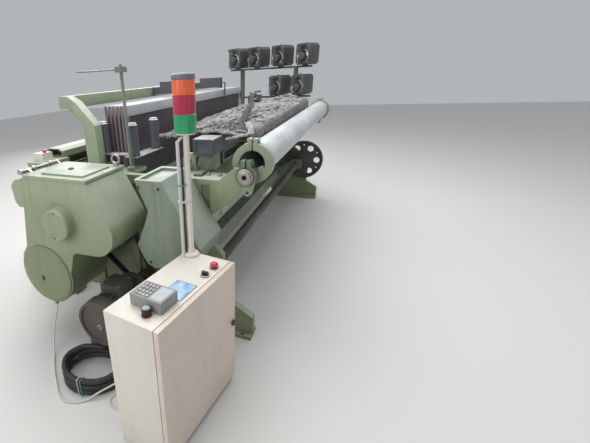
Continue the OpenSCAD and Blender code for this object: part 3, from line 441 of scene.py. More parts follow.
grease = (0.055, 0.045, 0.032)
castSurface = {"hollowReach": 0.10, "edge": 0.003}
sheetSurface = {
    "worn": (0.42, 0.36, 0.29), "hollows": 0.35, "hollowReach": 0.03, "edge": 0.002, "edgeWear": 0.35,
    "fadeScale": 1.6, "speckScale": 24,
}
yarnSurface = {"rough": (0.75, 0.95), "skin": 0.5, "skinScale": 900}
lensSurface = {
    "rough": (0.12, 0.25), "specks": 0.1, "coat": 0.4, "clear": 0.15, "skin": 0.05,
    "fadeScale": 1, "fadeStretch": (70, 70, 3),
}
looks = {
    # green paint; its low shade is painted shade, darker towards the floor
    "greenPaint": paint(
        (0.32, 0.385, 0.245), (0.385, 0.445, 0.32), (0.15, 0.145, 0.085), castSurface, rough=(0.3, 0.52),
        specks=0.2, streaks=0.25, hollows=0.85, worn=(0.12, 0.115, 0.085), edgeWear=0.55, fadeScale=2.2,
        dust=0.55, lowShade=(0.215, 0.255, 0.14),
    ),
    "coverPaint": paint(
        (0.215, 0.25, 0.135), (0.255, 0.285, 0.175), (0.11, 0.105, 0.06), castSurface, rough=(0.32, 0.55),
        specks=0.25, streaks=0.25, hollows=0.8, worn=(0.12, 0.115, 0.085), edgeWear=0.5, fadeScale=2.2,
    ),
    # a darker copy of the green paint: painted shade on the slanted guard and its rod
    "guardPaint": paint(
        (0.2, 0.255, 0.185), (0.26, 0.315, 0.235), (0.1, 0.105, 0.07), castSurface, rough=(0.34, 0.55),
        specks=0.3, streaks=0.4, hollows=0.8, worn=(0.42, 0.5, 0.42), edge=0.004, edgeWear=0.7, dust=0.75,
    ),
    # a darker, greasier copy of the green paint: painted shade for the cross beams, the stop box's foot
    # and the near bearing cap
    "greenShade": paint(
        (0.185, 0.235, 0.165), (0.245, 0.295, 0.215), grease, castSurface, rough=(0.42, 0.65), specks=0.4,
        streaks=0.5, hollows=0.9, hollowReach=0.12, worn=(0.1, 0.09, 0.07),
    ),
    "darkCasting": paint(
        (0.06, 0.066, 0.055), (0.095, 0.1, 0.085), grease, rough=(0.4, 0.7), specks=0.4, streaks=0.3,
        hollows=0.6, worn=(0.19, 0.18, 0.16), edge=0.002, edgeWear=0.5, skin=0.35,
    ),
    "darkSteel": paint(
        (0.085, 0.076, 0.068), (0.14, 0.126, 0.112), (0.03, 0.026, 0.022), rough=(0.38, 0.62), specks=0.5,
        hollows=0.6, worn=(0.3, 0.28, 0.25), edge=0.002, edgeWear=0.5, metal=0.45,
    ),
    "whiteTube": paint(
        (0.5, 0.515, 0.53), (0.64, 0.665, 0.68), (0.27, 0.225, 0.205), rough=(0.3, 0.46), specks=0.25,
        streaks=0.4, streakStretch=(2.0, 26, 26), worn=(0.3, 0.26, 0.22), edge=0.002, edgeWear=0.4,
        coat=0.15,
    ),
    "bareSteel": paint(
        (0.42, 0.405, 0.375), (0.56, 0.545, 0.51), (0.16, 0.125, 0.09), rough=(0.26, 0.5), specks=0.5,
        hollows=0.6, worn=(0.62, 0.6, 0.57), edge=0.0015, edgeWear=0.5, metal=0.85,
    ),
    "lightAlloy": paint(
        (0.5, 0.505, 0.515), (0.6, 0.605, 0.615), (0.25, 0.235, 0.22), rough=(0.34, 0.52), specks=0.3,
        streaks=0.25, streakStretch=(1.5, 30, 30), worn=(0.7, 0.7, 0.7), edge=0.002, edgeWear=0.5,
        metal=0.15,
    ),
    "slatePaint": paint(
        (0.072, 0.078, 0.094), (0.105, 0.112, 0.13), (0.04, 0.038, 0.036), rough=(0.36, 0.58), specks=0.3,
        worn=(0.24, 0.25, 0.27), edge=0.002, edgeWear=0.5,
    ),
    "blackRubber": paint(
        (0.02, 0.02, 0.022), (0.04, 0.039, 0.038), (0.11, 0.1, 0.085), rough=(0.42, 0.7), specks=0.45,
        speckScale=30,
    ),
    "rollerGrip": paint(
        (0.23, 0.13, 0.075), (0.3, 0.18, 0.11), (0.1, 0.07, 0.05), rough=(0.7, 0.9), specks=0.6,
        speckScale=120, skin=0.6, skinScale=420,
    ),
    "creamPaint": paint(
        (0.725, 0.675, 0.59), (0.775, 0.735, 0.66), (0.42, 0.35, 0.27), sheetSurface, rough=(0.3, 0.46),
        specks=0.1, streaks=0.14,
    ),
    # cream paint made darker and pinker for the door, which faces away from the light: painted shade with
    # a painted warm reflection of the floor
    "doorPaint": paint(
        (0.69, 0.575, 0.49), (0.735, 0.625, 0.545), (0.4, 0.31, 0.24), sheetSurface, rough=(0.28, 0.44),
        specks=0.12, streaks=0.16,
    ),
    "deviceGray": paint(
        (0.29, 0.292, 0.29), (0.335, 0.337, 0.335), (0.16, 0.15, 0.14), rough=(0.42, 0.6), specks=0.2,
        worn=(0.42, 0.42, 0.42), edge=0.0015, edgeWear=0.3, skin=0.3, skinScale=700, skinDepth=0.0003,
    ),
    "gearPlastic": paint(
        (0.42, 0.425, 0.43), (0.5, 0.5, 0.5), (0.2, 0.19, 0.18), rough=(0.45, 0.65), specks=0.2,
        worn=(0.6, 0.6, 0.6), edge=0.001,
    ),
    "capGray": paint(
        (0.15, 0.16, 0.195), (0.2, 0.21, 0.245), (0.08, 0.08, 0.08), rough=(0.3, 0.45), specks=0.2,
    ),
    "cableWhite": paint(
        (0.6, 0.59, 0.55), (0.68, 0.67, 0.64), (0.3, 0.26, 0.21), rough=(0.4, 0.6), specks=0.4,
        speckScale=40,
    ),
    "buttonRed": paint(
        (0.43, 0.022, 0.05), (0.52, 0.05, 0.075), (0.2, 0.02, 0.02), rough=(0.25, 0.4), specks=0.1,
        coat=0.3,
    ),
    "buttonBlack": paint(
        (0.018, 0.018, 0.02), (0.035, 0.035, 0.038), (0.1, 0.09, 0.08), rough=(0.3, 0.5), specks=0.2,
    ),
    "feederDark": paint(
        (0.05, 0.056, 0.05), (0.085, 0.092, 0.084), (0.2, 0.19, 0.17), rough=(0.38, 0.6), specks=0.35,
        worn=(0.26, 0.26, 0.25), edge=0.002,
    ),
    "feederPale": paint(
        (0.6, 0.61, 0.62), (0.7, 0.71, 0.72), (0.26, 0.24, 0.22), rough=(0.25, 0.45), specks=0.3,
        worn=(0.8, 0.8, 0.8), edge=0.0015,
    ),
    # dark brown of the heddles with darker upright streaks: partly their own colour, partly painted shade
    # among the dense wires
    "harnessPanel": paint(
        (0.095, 0.082, 0.086), (0.135, 0.12, 0.124), (0.04, 0.034, 0.036), rough=(0.4, 0.6), specks=0.3,
        streaks=0.5, streakStretch=(60, 60, 1.0),
    ),
    "maroonPaint": paint(
        (0.205, 0.145, 0.17), (0.235, 0.18, 0.205), (0.09, 0.07, 0.08), rough=(0.4, 0.6), specks=0.25,
    ),
    "yarn": paint(
        (0.225, 0.217, 0.218), (0.33, 0.318, 0.32), (0.075, 0.072, 0.074), yarnSurface, specks=0.35,
        speckScale=26, streaks=0.55, streakStretch=(12, 130, 60), hollows=0.55, hollowReach=0.03,
    ),
    "yarnMiddle": paint(
        (0.235, 0.228, 0.23), (0.38, 0.365, 0.37), (0.09, 0.086, 0.088), yarnSurface, specks=0.4,
        speckScale=20, hollows=0.5, hollowReach=0.02, fadeScale=9,
    ),
    "yarnLight": paint(
        (0.42, 0.408, 0.41), (0.62, 0.6, 0.605), (0.16, 0.155, 0.157), yarnSurface, specks=0.35,
        speckScale=20, hollows=0.5, hollowReach=0.02, fadeScale=9,
    ),
    "yarnDark": paint(
        (0.06, 0.059, 0.063), (0.105, 0.102, 0.108), (0.025, 0.025, 0.027), yarnSurface, specks=0.4,
        speckScale=30,
    ),
    "yarnPale": paint(
        (0.48, 0.465, 0.465), (0.62, 0.6, 0.6), (0.22, 0.2, 0.195), yarnSurface, specks=0.4,
        speckScale=30, hollows=0.6, hollowReach=0.02,
    ),
    "motorFace": paint(
        (0.085, 0.07, 0.06), (0.125, 0.105, 0.09), (0.045, 0.038, 0.032), rough=(0.5, 0.7), specks=0.5,
    ),
    "stopBoxGray": paint(
        (0.32, 0.325, 0.345), (0.39, 0.395, 0.415), (0.14, 0.14, 0.14), rough=(0.35, 0.5), specks=0.3,
    ),
    "screenBlue": paint(
        (0.19, 0.4, 0.7), (0.48, 0.68, 0.85), (0.09, 0.25, 0.6), rough=(0.08, 0.2), specks=0.0,
        streaks=0.8, streakStretch=(34, 8, 1), fadeScale=1, fadeStretch=(9, 40, 1), coat=0.6, skin=0.02,
    ),
    "keySilver": paint(
        (0.27, 0.268, 0.265), (0.4, 0.395, 0.39), (0.12, 0.12, 0.12), rough=(0.35, 0.5), specks=0.25,
        fadeScale=40, metal=0.3,
    ),
    "palePlate": paint(
        (0.43, 0.47, 0.49), (0.5, 0.54, 0.56), (0.26, 0.28, 0.28), rough=(0.3, 0.45), specks=0.15,
    ),
    "tieGreen": paint(
        (0.03, 0.3, 0.18), (0.06, 0.38, 0.24), (0.05, 0.14, 0.1), rough=(0.35, 0.5), specks=0.2,
    ),
    "lensGreen": paint((0.02, 0.33, 0.13), (0.07, 0.52, 0.24), (0.02, 0.16, 0.08), lensSurface),
    "lensRed": paint((0.48, 0.016, 0.065), (0.7, 0.06, 0.12), (0.26, 0.01, 0.03), lensSurface),
    "lensOrange": paint((1.0, 0.14, 0.03), (1.0, 0.24, 0.08), (0.6, 0.08, 0.03), lensSurface),
}
finish = {name: makeFinish(name, look) for name, look in looks.items()}
print("finishes", len(finish))


# Cords: the two cables, along the routes of the part's source, in millimetres from the loom's middle
cables = {
    "powerCable": {
        "radius": 0.013,
        "route": [
            (-1640, -150, 96), (-1658, -150, 96), (-1678, -132, 95), (-1689, -88, 93), (-1705, -42, 90),
            (-1738, -14, 87), (-1778, -2, 84), (-1820, -18, 81), (-1854, -54, 79), (-1872, -100, 77),
            (-1876, -150, 75), (-1862, -200, 73), (-1832, -244, 71), (-1790, -268, 69), (-1745, -270, 67),
            (-1704, -246, 65), (-1676, -206, 62), (-1662, -156, 60), (-1664, -104, 58), (-1684, -56, 56),
            (-1716, -22, 54), (-1758, -2, 52), (-1802, -8, 50), (-1842, -36, 48), (-1868, -80, 47),
            (-1878, -130, 46), (-1872, -182, 45), (-1848, -230, 44), (-1812, -262, 43), (-1768, -278, 42),
            (-1724, -266, 39), (-1688, -232, 36), (-1666, -186, 33), (-1658, -136, 30), (-1670, -84, 27),
            (-1698, -40, 24), (-1736, -12, 20), (-1780, -2, 17), (-1824, -20, 15), (-1858, -58, 14),
            (-1876, -106, 14), (-1876, -160, 14), (-1856, -212, 14), (-1820, -254, 14), (-1774, -280, 14),
            (-1722, -296, 14), (-1682, -320, 14), (-1656, -354, 14), (-1644, -390, 18), (-1641, -424, 36),
            (-1645, -458, 49), (-1648, -482, 50),
        ],
        "finish": "blackRubber",
        "slot": "rubber_black",
        "node": "power_cable",
        "lay": "coiled",
    },
    "signalCable": {
        "radius": 0.004,
        "route": [
            (-1590, 220, 205), (-1590, 220, 190), (-1600, 218, 170), (-1617, 212, 150), (-1636, 206, 129),
            (-1654, 200, 105), (-1672, 192, 80), (-1690, 182, 55), (-1708, 170, 32), (-1728, 154, 14),
            (-1746, 136, 6), (-1768, 116, 5), (-1790, 96, 5), (-1812, 72, 5), (-1834, 48, 5),
            (-1856, 22, 5), (-1882, -10, 5), (-1908, -42, 5), (-1928, -74, 5), (-1940, -104, 5),
            (-1942, -130, 5), (-1934, -156, 5), (-1922, -178, 5), (-1908, -196, 7), (-1894, -212, 13),
            (-1880, -230, 24), (-1864, -248, 35), (-1846, -266, 43), (-1824, -284, 48), (-1800, -298, 50),
            (-1776, -308, 48), (-1756, -316, 40), (-1740, -324, 28), (-1730, -334, 16), (-1728, -346, 8),
            (-1736, -356, 5), (-1750, -356, 5), (-1766, -346, 5), (-1784, -330, 5), (-1804, -314, 5),
            (-1824, -302, 5), (-1844, -296, 5), (-1862, -300, 5), (-1876, -312, 5), (-1884, -330, 5),
            (-1884, -350, 5), (-1877, -370, 7), (-1868, -388, 16), (-1860, -406, 30), (-1857, -428, 42),
            (-1861, -452, 45),
        ],
        "finish": "cableWhite",
        "slot": "cable_white",
        "node": "signal_cable",
        "lay": "loose",
    },
}


def layCable(name, cable):
    piece = newCurve(name, cable["radius"], 4)
    points = [(x / 1000 + loomMiddle, y / 1000, z / 1000) for x, y, z in cable["route"]]
    line = piece.data.splines.new("BEZIER")
    line.bezier_points.add(len(points) - 1)
    for knot, place in zip(line.bezier_points, points):
        knot.co = place
        knot.handle_left_type = knot.handle_right_type = "AUTO"
    line.resolution_u = 6
    piece.data.materials.append(finish[cable["finish"]])
    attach(piece, "loom")
    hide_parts(cable["node"])


print("cables")
for cableName, cable in cables.items():
    layCable(cableName, cable)


# Stage: pale floor and soft light
stage = {
    "floorSize": 24,
    "floorColour": (0.70, 0.69, 0.67),
    "skyColour": (0.93, 0.96, 1.0),
    "skyStrength": 0.48,
    "lamps": [
        {"place": (0.2, 0.2, 3.6), "size": 4.0, "power": 150, "aim": (-0.2, 0.0, 0.6)},
        {"place": (-4.4, 0.9, 2.2), "size": 2.4, "power": 42, "aim": (-1.4, 0, 0.6)},
        {"place": (3.4, 3.2, 2.8), "size": 3.0, "power": 70, "aim": (0.4, 0, 0.7)},
    ],
}


def makeStage():
    deselectAll()
    bpy.ops.mesh.primitive_grid_add(x_subdivisions=4, y_subdivisions=4, size=stage["floorSize"])
    floor = bpy.context.object
    floor.name = "floor"
    coat = bpy.data.materials.new("floorPaint")
    coat.use_nodes = True
    shader = coat.node_tree.nodes["Principled BSDF"]
    shader.inputs["Base Color"].default_value = (*stage["floorColour"], 1)
    shader.inputs["Roughness"].default_value = 0.75
    floor.data.materials.append(coat)
    floor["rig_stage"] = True
    world = bpy.data.worlds.new("studio")
    world.use_nodes = True
    sky = world.node_tree.nodes["Background"]
    sky.inputs["Color"].default_value = (*stage["skyColour"], 1)
    sky.inputs["Strength"].default_value = stage["skyStrength"]
    bpy.context.scene.world = world
    for lamp in stage["lamps"]:
        bpy.ops.object.light_add(type="AREA", location=lamp["place"])
        light = bpy.context.object
        light.data.size = lamp["size"]
        light.data.energy = lamp["power"]
        aim = Vector(lamp["aim"]) - Vector(lamp["place"])
        light.rotation_euler = aim.to_track_quat("-Z", "Y").to_euler()
    bpy.context.scene.view_settings.view_transform = "Standard"


print("stage")
makeStage()


# Finishes of the CAD nodes, and copies of those whose edges are rounded over
nodeFinish = {
    "greenPaint": [
        "near_side_frame", "far_side_frame", "near_rear_arm", "far_rear_arm", "drive_housing",
        "housing_lid", "shaft_cover", "far_drive_housing", "harness_arch", "breast_beam",
        "near_end_ring", "far_end_ring", "sley",
    ],
    "coverPaint": ["round_cover"],
    "guardPaint": ["slanted_guard", "guide_rod"],
    "greenShade": ["cross_beams"],
    "darkCasting": ["beam_disc", "motor_housing", "main_shaft", "motor_pulley"],
    "darkSteel": ["rear_tie_bar", "pressure_roller", "cloth_roller", "door_latch"],
    "whiteTube": ["backrest_tube"],
    "bareSteel": ["reed"],
    "lightAlloy": ["harness_frame_%d" % number for number in range(1, 7)],
    "slatePaint": ["frame_guides", "post_shelf", "stop_motion"],
    "blackRubber": ["drive_belt"],
    "rollerGrip": ["take_up_roller"],
    "creamPaint": ["cabinet_body", "stack_pole", "button_station"],
    "doorPaint": ["cabinet_door"],
    "deviceGray": ["instrument_box"],
    "gearPlastic": ["cabinet_gear"],
    "capGray": ["stack_cap"],
    "cableWhite": ["stack_cable"],
    "buttonRed": ["stop_button", "station_button"],
    "buttonBlack": ["selector_switch", "control_knob"],
    "feederDark": ["feeder_stand", "feeder_ring_1", "feeder_ring_2", "feeder_ring_3"],
}
finishOfNode = {name: key for key, names in nodeFinish.items() for name in names}
for name, key in finishOfNode.items():
    nodes[name].data.materials.clear()
    nodes[name].data.materials.append(finish[key])

rounded = {
    # node: (piece name, edge radius, segments)
    "drive_housing": ("driveHousingShell", 0.006, 3),
    "housing_lid": ("housingLidPlate", 0.002, 2),
    "shaft_cover": ("shaftCoverCap", 0.003, 2),
    "round_cover": ("roundCoverPlate", 0.0015, 2),
    "slanted_guard": ("slantedGuardShell", 0.006, 3),
    "near_rear_arm": ("nearRearArmCasting", 0.002, 2),
    "far_rear_arm": ("farRearArmCasting", 0.002, 2),
    "near_end_ring": ("nearEndRingClamp", 0.002, 2),
    "far_end_ring": ("farEndRingClamp", 0.002, 2),
    "backrest_tube": ("backrestTubeSkin", 0.001, 2),
    "cabinet_body": ("cabinetShell", 0.0025, 3),
    "cabinet_door": ("cabinetDoorPanel", 0.0025, 3),
    "instrument_box": ("instrumentCase", 0.002, 2),
    "stack_pole": ("stackPoleTube", 0.001, 2),
    "stack_cap": ("stackCapLid", 0.0015, 2),
    "motor_housing": ("motorCasing", 0.0015, 2),
    "beam_disc": ("beamDiscCasting", 0.003, 2),
    "post_shelf": ("postShelfSet", 0.001, 2),
    "stop_motion": ("stopMotionFrame", 0.0012, 2),
    "harness_arch": ("harnessArchBeam", 0.002, 2),
    "take_up_roller": ("takeUpRollerSkin", 0.001, 2),
    "cloth_roller": ("clothRollerSkin", 0.001, 2),
    "pressure_roller": ("pressureRollerSkin", 0.001, 2),
    "main_shaft": ("mainShaftSet", 0.001, 2),
    "motor_pulley": ("motorPulleyWheel", 0.001, 2),
    "rear_tie_bar": ("rearTieRod", 0.001, 2),
    "stack_cable": ("stackCableRun", 0.0005, 1),
    "guide_rod": ("guideRodPost", 0.0008, 1),
    "feeder_stand": ("feederStandSet", 0.002, 2),
    "feeder_ring_1": ("feederDrum1", 0.001, 2),
    "feeder_ring_2": ("feederDrum2", 0.001, 2),
    "feeder_ring_3": ("feederDrum3", 0.001, 2),
}


def roundOver(nodeName, pieceName, radius, segments):
    piece = copyPiece(nodes[nodeName])
    body = piece["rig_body"]
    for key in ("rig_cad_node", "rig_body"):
        del piece[key]
    piece.parent = None
    bpy.ops.mesh.customdata_custom_splitnormals_clear()
    bpy.ops.object.mode_set(mode="EDIT")
    bpy.ops.mesh.select_all(action="SELECT")
    bpy.ops.mesh.remove_doubles(threshold=0.00002)
    bpy.ops.mesh.dissolve_limited(angle_limit=math.radians(0.4))
    bpy.ops.object.mode_set(mode="OBJECT")
    softenEdges(piece, radius, segments)
    return finishPiece(piece, pieceName, finishOfNode[nodeName], body=body, replaced=(nodeName,))


print("rounded copies")
for name, values in rounded.items():
    roundOver(name, *values)


# Warp: loose yarns along the loom behind the harness, heaped at the far side
warp = {
    # places and strides in millimetres from the loom's middle, radii in metres
    "nearEdge": -962,
    "farEdge": 1060,
    "back": -622,
    "front": 22,
    "top": [(-628, 1024), (-512, 1050), (-390, 1056), (-200, 1020), (24, 975)],
    "bottom": [(-628, 1000), (-512, 1003), (-390, 1003), (-120, 948), (24, 930)],
    "drawnBackFrom": -400,
    "drawnBack": 0.45,
    "bedGrid": (150, 80),
    "bedThickness": 10,
    "strands": {"count": 1320, "points": 34, "radius": 0.0015, "far": 820, "stride": (13, 19)},
    "strandLooks": {
        # finish, shade from and to
        "warpStrands": ("yarn", -0.12, 0.10),
        "warpPaleStrands": ("yarnLight", 0.10, 9),
        "warpDarkStrands": ("yarnDark", -9, -0.12),
    },
    "passing": {"count": 420, "points": 7, "radius": 0.0012, "near": -835, "across": 1880, "stride": 34},
    "fringe": {"count": 760, "radius": 0.0021, "drop": 46},
    "hanks": {"count": 64, "yarns": 9, "points": 26, "radius": 0.0022, "stride": 21, "apart": 2.6},
}


def clamp(value, low, high):
    return min(max(value, low), high)


def levelAt(line, y):
    for (y0, z0), (y1, z1) in zip(line, line[1:]):
        if y <= y1:
            return z0 + (z1 - z0) * max(y - y0, 0) / (y1 - y0)
    return line[-1][1]


def clump(x, y, size, seed):
    # waves that are drawn out along the loom
    return noise.noise(Vector((x / size / 2.2, y / size, seed)))


def warpHeight(x, y):
    # thin and flat at the near side, heaped up at the far side
    low, high = levelAt(warp["bottom"], y), levelAt(warp["top"], y)
    heap = clamp((x + 300) / 600, 0, 1)
    ridge = abs(clump(x, y, 90, 3.1)) * 1.2 + abs(noise.noise(Vector((x / 120, y / 17, 8.4)))) * 0.42
    share = 0.34 + 0.20 * heap + (0.36 + 0.50 * heap) * ridge
    return low + (high - low) * min(share, 1.12)


def nearEdgeAt(y):
    # the near edge draws back towards the harness
    return warp["nearEdge"] + max(y - warp["drawnBackFrom"], 0) * warp["drawnBack"]


def addStrand(piece, points, thickness=1.0):
    strand = piece.data.splines.new("POLY")
    strand.points.add(len(points) - 1)
    for knot, place in zip(strand.points, points):
        knot.co = (*toLoom(*place), 1)
        knot.radius = thickness


def finishYarns(piece, look):
    pick(piece)
    bpy.ops.object.convert(target="MESH")
    finishPiece(piece, piece.name, look)


def makeWarpBed():
    deselectAll()
    columns, rows = warp["bedGrid"]
    bpy.ops.mesh.primitive_grid_add(x_subdivisions=columns, y_subdivisions=rows, size=1)
    bed = bpy.context.object
    for corner in bed.data.vertices:
        y = warp["back"] + (warp["front"] - warp["back"]) * (corner.co.y + 0.5)
        near = nearEdgeAt(y) + 26 * clump(0, y, 40, 5.5)
        x = near + (warp["farEdge"] - near) * (corner.co.x + 0.5)
        corner.co = toLoom(x, y, warpHeight(x, y) - 4)
    body = bed.modifiers.new("body", "SOLIDIFY")
    body.thickness = warp["bedThickness"] / 1000
    body.offset = -1
    pick(bed)
    bpy.ops.object.modifier_apply(modifier="body")
    bpy.ops.object.shade_smooth()
    finishPiece(bed, "warpBed", "yarn", replaced=("warp_sheet",))


def makeWarpStrands():
    # most run along the loom, from the near corner into the heap; neighbours share a shade
    dice = random.Random(41)
    own = warp["strands"]
    strands = []
    for i in range(own["count"]):
        x = dice.uniform(warp["nearEdge"] + 6, own["far"])
        y = dice.uniform(warp["back"] + 12, warp["front"] - 14)
        shade = clump(x, y, 44, 6.2) + dice.gauss(0, 0.13)
        near = nearEdgeAt(y)
        x = max(x, near)
        heading = 0.30 + 0.5 * clump(x, y, 160, 2.2) + dice.gauss(0, 0.12 + 0.50 * clamp(x / 600, 0, 1))
        lift = dice.uniform(0.5, 4.5)
        stride = dice.uniform(*own["stride"])
        points = []
        for j in range(own["points"]):
            points.append((x, y, warpHeight(x, y) + lift))
            heading += clump(x, y, 75, i * 0.01) * (0.09 + 0.3 * clamp((x + 200) / 700, 0, 1))
            x = clamp(x + stride * math.cos(heading), near, warp["farEdge"] - 4)
            y = clamp(y + stride * math.sin(heading), warp["back"] + 3, warp["front"] - 4)
        strands.append((shade, points, 0.7 + 0.7 * dice.random()))
    for name, (look, low, high) in warp["strandLooks"].items():
        piece = newCurve(name, own["radius"])
        for shade, points, thickness in strands:
            if low <= shade < high:
                addStrand(piece, points, thickness)
        finishYarns(piece, look)


def makeWarpYarns():
    # yarns that still pass through the harness
    dice = random.Random(23)
    own = warp["passing"]
    piece = newCurve("warpYarns", own["radius"])
    for i in range(own["count"]):
        x = own["near"] + own["across"] * (i + dice.random()) / own["count"]
        points = []
        for j in range(own["points"]):
            y = warp["front"] - 2 - own["stride"] * j
            x += 7 * clump(x, y, 40, 4.4)
            points.append((x, y, warpHeight(x, y) + 1))
        addStrand(piece, points)
    finishYarns(piece, "yarnMiddle")


def makeWarpFringe():
    # ends that hang over the rear edge
    dice = random.Random(29)
    own = warp["fringe"]
    piece = newCurve("warpFringe", own["radius"])
    near, far = warp["nearEdge"] + 30, warp["farEdge"] - 6
    for i in range(own["count"]):
        x = near + (far - near) * (i + dice.random()) / own["count"]
        top = warpHeight(x, -600)
        drop = own["drop"] * (1 + dice.random()) + 30 * clump(x, 0, 50, 9.9)
        sway = 22 * clump(x, 0, 60, 2.6) + dice.gauss(0, 4)
        points = [
            (x - sway, -560, warpHeight(x - sway, -560) + 3),
            (x - sway / 2, -594, top + 4),
            (x, -619, top - 4),
            (x + sway * 0.3, -628 + 3 * dice.random(), top - drop * 0.45),
            (x + sway * 0.6, -627 + 5 * dice.random(), top - drop),
        ]
        addStrand(piece, points, 0.7 + 0.6 * dice.random())
    finishYarns(piece, "yarn")


def hankStart(far, dice):
    # hanks in the heap curl, those at the near side run into it
    x = dice.uniform(0, 1000) if far else dice.uniform(-860, 0)
    y = dice.uniform(-590, -60)
    heading = dice.uniform(-0.9, 0.9) + (math.pi if dice.random() < 0.5 else 0)
    if not far:
        heading = 0.35 + dice.uniform(-0.2, 0.2)
    turn = dice.uniform(-0.13, 0.13) if far else 0
    return x, y, heading, turn


def makeWarpHanks():
    # hanks that wander over the heap
    dice = random.Random(17)
    own = warp["hanks"]
    piece = newCurve("warpHanks", own["radius"])
    for i in range(own["count"]):
        x, y, heading, turn = hankStart(i % 4, dice)
        line = []
        for j in range(own["points"]):
            line.append((x, y, heading))
            heading += turn + 0.5 * clump(x, y, 120, i * 1.3)
            x += own["stride"] * math.cos(heading)
            y += own["stride"] * math.sin(heading)
            heldX = clamp(x, warp["nearEdge"] + 60, warp["farEdge"] - 30)
            heldY = clamp(y, warp["back"] + 20, warp["front"] - 20)
            if (heldX, heldY) != (x, y):
                heading += 0.9
                x, y = heldX, heldY
        for k in range(own["yarns"]):
            side = (k - own["yarns"] / 2) * own["apart"]
            rise = 3 + 4.5 * math.cos(side / 9)
            points = []
            for x, y, heading in line:
                aside = side + 3 * clump(x, y, 40, k)
                place = (x + aside * math.sin(heading), y - aside * math.cos(heading))
                points.append((*place, warpHeight(x, y) + rise))
            addStrand(piece, points, 0.6 + 0.6 * dice.random())
    finishYarns(piece, "yarnMiddle")


# Dark hank from the far posts to the near rear corner, and pale yarn ends
hangingYarns = {
    "darkHank": {
        "line": [
            (1102, -46, 1086), (1060, -60, 1088), (900, -120, 1080), (600, -205, 1068),
            (300, -285, 1062), (-50, -370, 1056), (-350, -440, 1044), (-700, -525, 1034),
            (-900, -580, 1018), (-935, -600, 985),
        ],
        "count": 46, "spread": 13, "radius": 0.0030, "seed": 5, "finish": "yarnDark",
    },
    "darkTail": {
        "line": [
            (1102, -46, 1088), (1098, -70, 1040), (1085, -90, 990), (1040, -120, 1000), (940, -150, 1034),
        ],
        "count": 26, "spread": 12, "radius": 0.0030, "seed": 6, "finish": "yarnDark",
    },
    "postEnds": {
        "line": [
            (1232, -98, 1084), (1196, -84, 1090), (1150, -62, 1088), (1102, -46, 1086), (1070, -52, 1062),
            (1052, -60, 1010),
        ],
        "count": 14, "spread": 8, "radius": 0.0013, "seed": 9, "finish": "yarnPale",
    },
    "nearEnds": {
        "line": [
            (-1050, -560, 1000), (-1010, -590, 1004), (-975, -628, 1010), (-930, -640, 1016),
            (-860, -618, 1030), (-780, -585, 1044),
        ],
        "count": 30, "spread": 12, "radius": 0.0018, "seed": 12, "finish": "yarnPale",
    },
}


def smoothLine(line, steps):
    # a spline through the knots
    made = []
    for i in range(len(line) - 1):
        a, b, c, d = (Vector(line[clamp(i + k, 0, len(line) - 1)]) for k in (-1, 0, 1, 2))
        slope, bow, twist = c - a, 2 * a - 5 * b + 4 * c - d, 3 * b - a - 3 * c + d
        for s in range(steps):
            t = s / steps
            made.append(0.5 * (2 * b + slope * t + bow * t ** 2 + twist * t ** 3))
    made.append(Vector(line[-1]))
    return made


def makeHangingYarns(name, hank):
    dice = random.Random(hank["seed"])
    piece = newCurve(name, hank["radius"])
    middle = smoothLine(hank["line"], 6)
    for k in range(hank["count"]):
        offset = Vector((dice.gauss(0, 1), dice.gauss(0, 1), abs(dice.gauss(0, 0.4))))
        offset *= hank["spread"] * 0.5
        phase = dice.uniform(0, 50)
        points = []
        for j, place in enumerate(middle):
            across, up = noise.noise(Vector((j / 5, phase, 1))), noise.noise(Vector((j / 4, phase, 7)))
            points.append(place + offset + Vector((0, across, 0.4 * up)) * hank["spread"])
        addStrand(piece, points, 0.7 + 0.5 * dice.random())
    finishYarns(piece, hank["finish"])


print("warp")
makeWarpBed()
makeWarpStrands()
makeWarpYarns()
makeWarpFringe()
makeWarpHanks()
for name, hank in hangingYarns.items():
    makeHangingYarns(name, hank)


# Harness: pale rails, dark heddles, maroon ends
harness = {
    # in millimetres from the loom's middle
    "firstY": 54,
    "pitch": 27,
    "wires": 440,
    "wireStep": 4.46,
    "wireHalf": (1.5, 0.4),
    "wireFirst": -980,
    "wireHeights": (731, 1102),
    "wireAside": 3.2,
    "eyeCuts": (900, 912, 924),
    # in metres, the heddle bars' depth from the frame's middle
    "eyeGrowth": 0.0012,
    "edge": 0.0015,
    "barsAlong": (-0.86, 1.13),
    "barsUp": (0.732, 1.1025),
    "barsDeep": 0.0022,
}


def makeHeddles(y):
    # a row of flat strips with a wider eye in the middle
    x, (wide, thick), (low, high) = harness["wireFirst"], harness["wireHalf"], harness["wireHeights"]
    heddle = addBox(toLoom(x - wide, y - thick, low), toLoom(x + wide, y + thick, high))
    swell(heddle, harness["eyeCuts"], 0, harness["eyeGrowth"])
    repeatRow(heddle, harness["wires"], (harness["wireStep"] / 1000, 0, 0))
    return heddle


def dressHarness(number):
    y = harness["firstY"] + (number - 1) * harness["pitch"]
    middle = toLoom(harness["wireFirst"], y, 0)
    (near, far), (low, high) = harness["barsAlong"], harness["barsUp"]
    rails = roundOver("harness_frame_%d" % number, "harnessRails%d" % number, harness["edge"], 2)

    def onHeddles(centre, normal):
        inside = abs(centre.y - middle.y) < harness["barsDeep"]
        return inside and near < centre.x < far and low < centre.z < high

    def onNearEnd(centre, normal):
        return centre.x < middle.x and centre.z < high

    splitOff(rails, "heddleBars%d" % number, "harnessPanel", onHeddles)
    splitOff(rails, "harnessEnd%d" % number, "maroonPaint", onNearEnd)
    aside = -harness["wireAside"] if number % 2 else harness["wireAside"]
    wires = makeHeddles(y + aside)
    finishPiece(wires, "heddles%d" % number, "harnessPanel", "harness_%d" % number)


print("harness")
for number in range(1, 7):
    dressHarness(number)


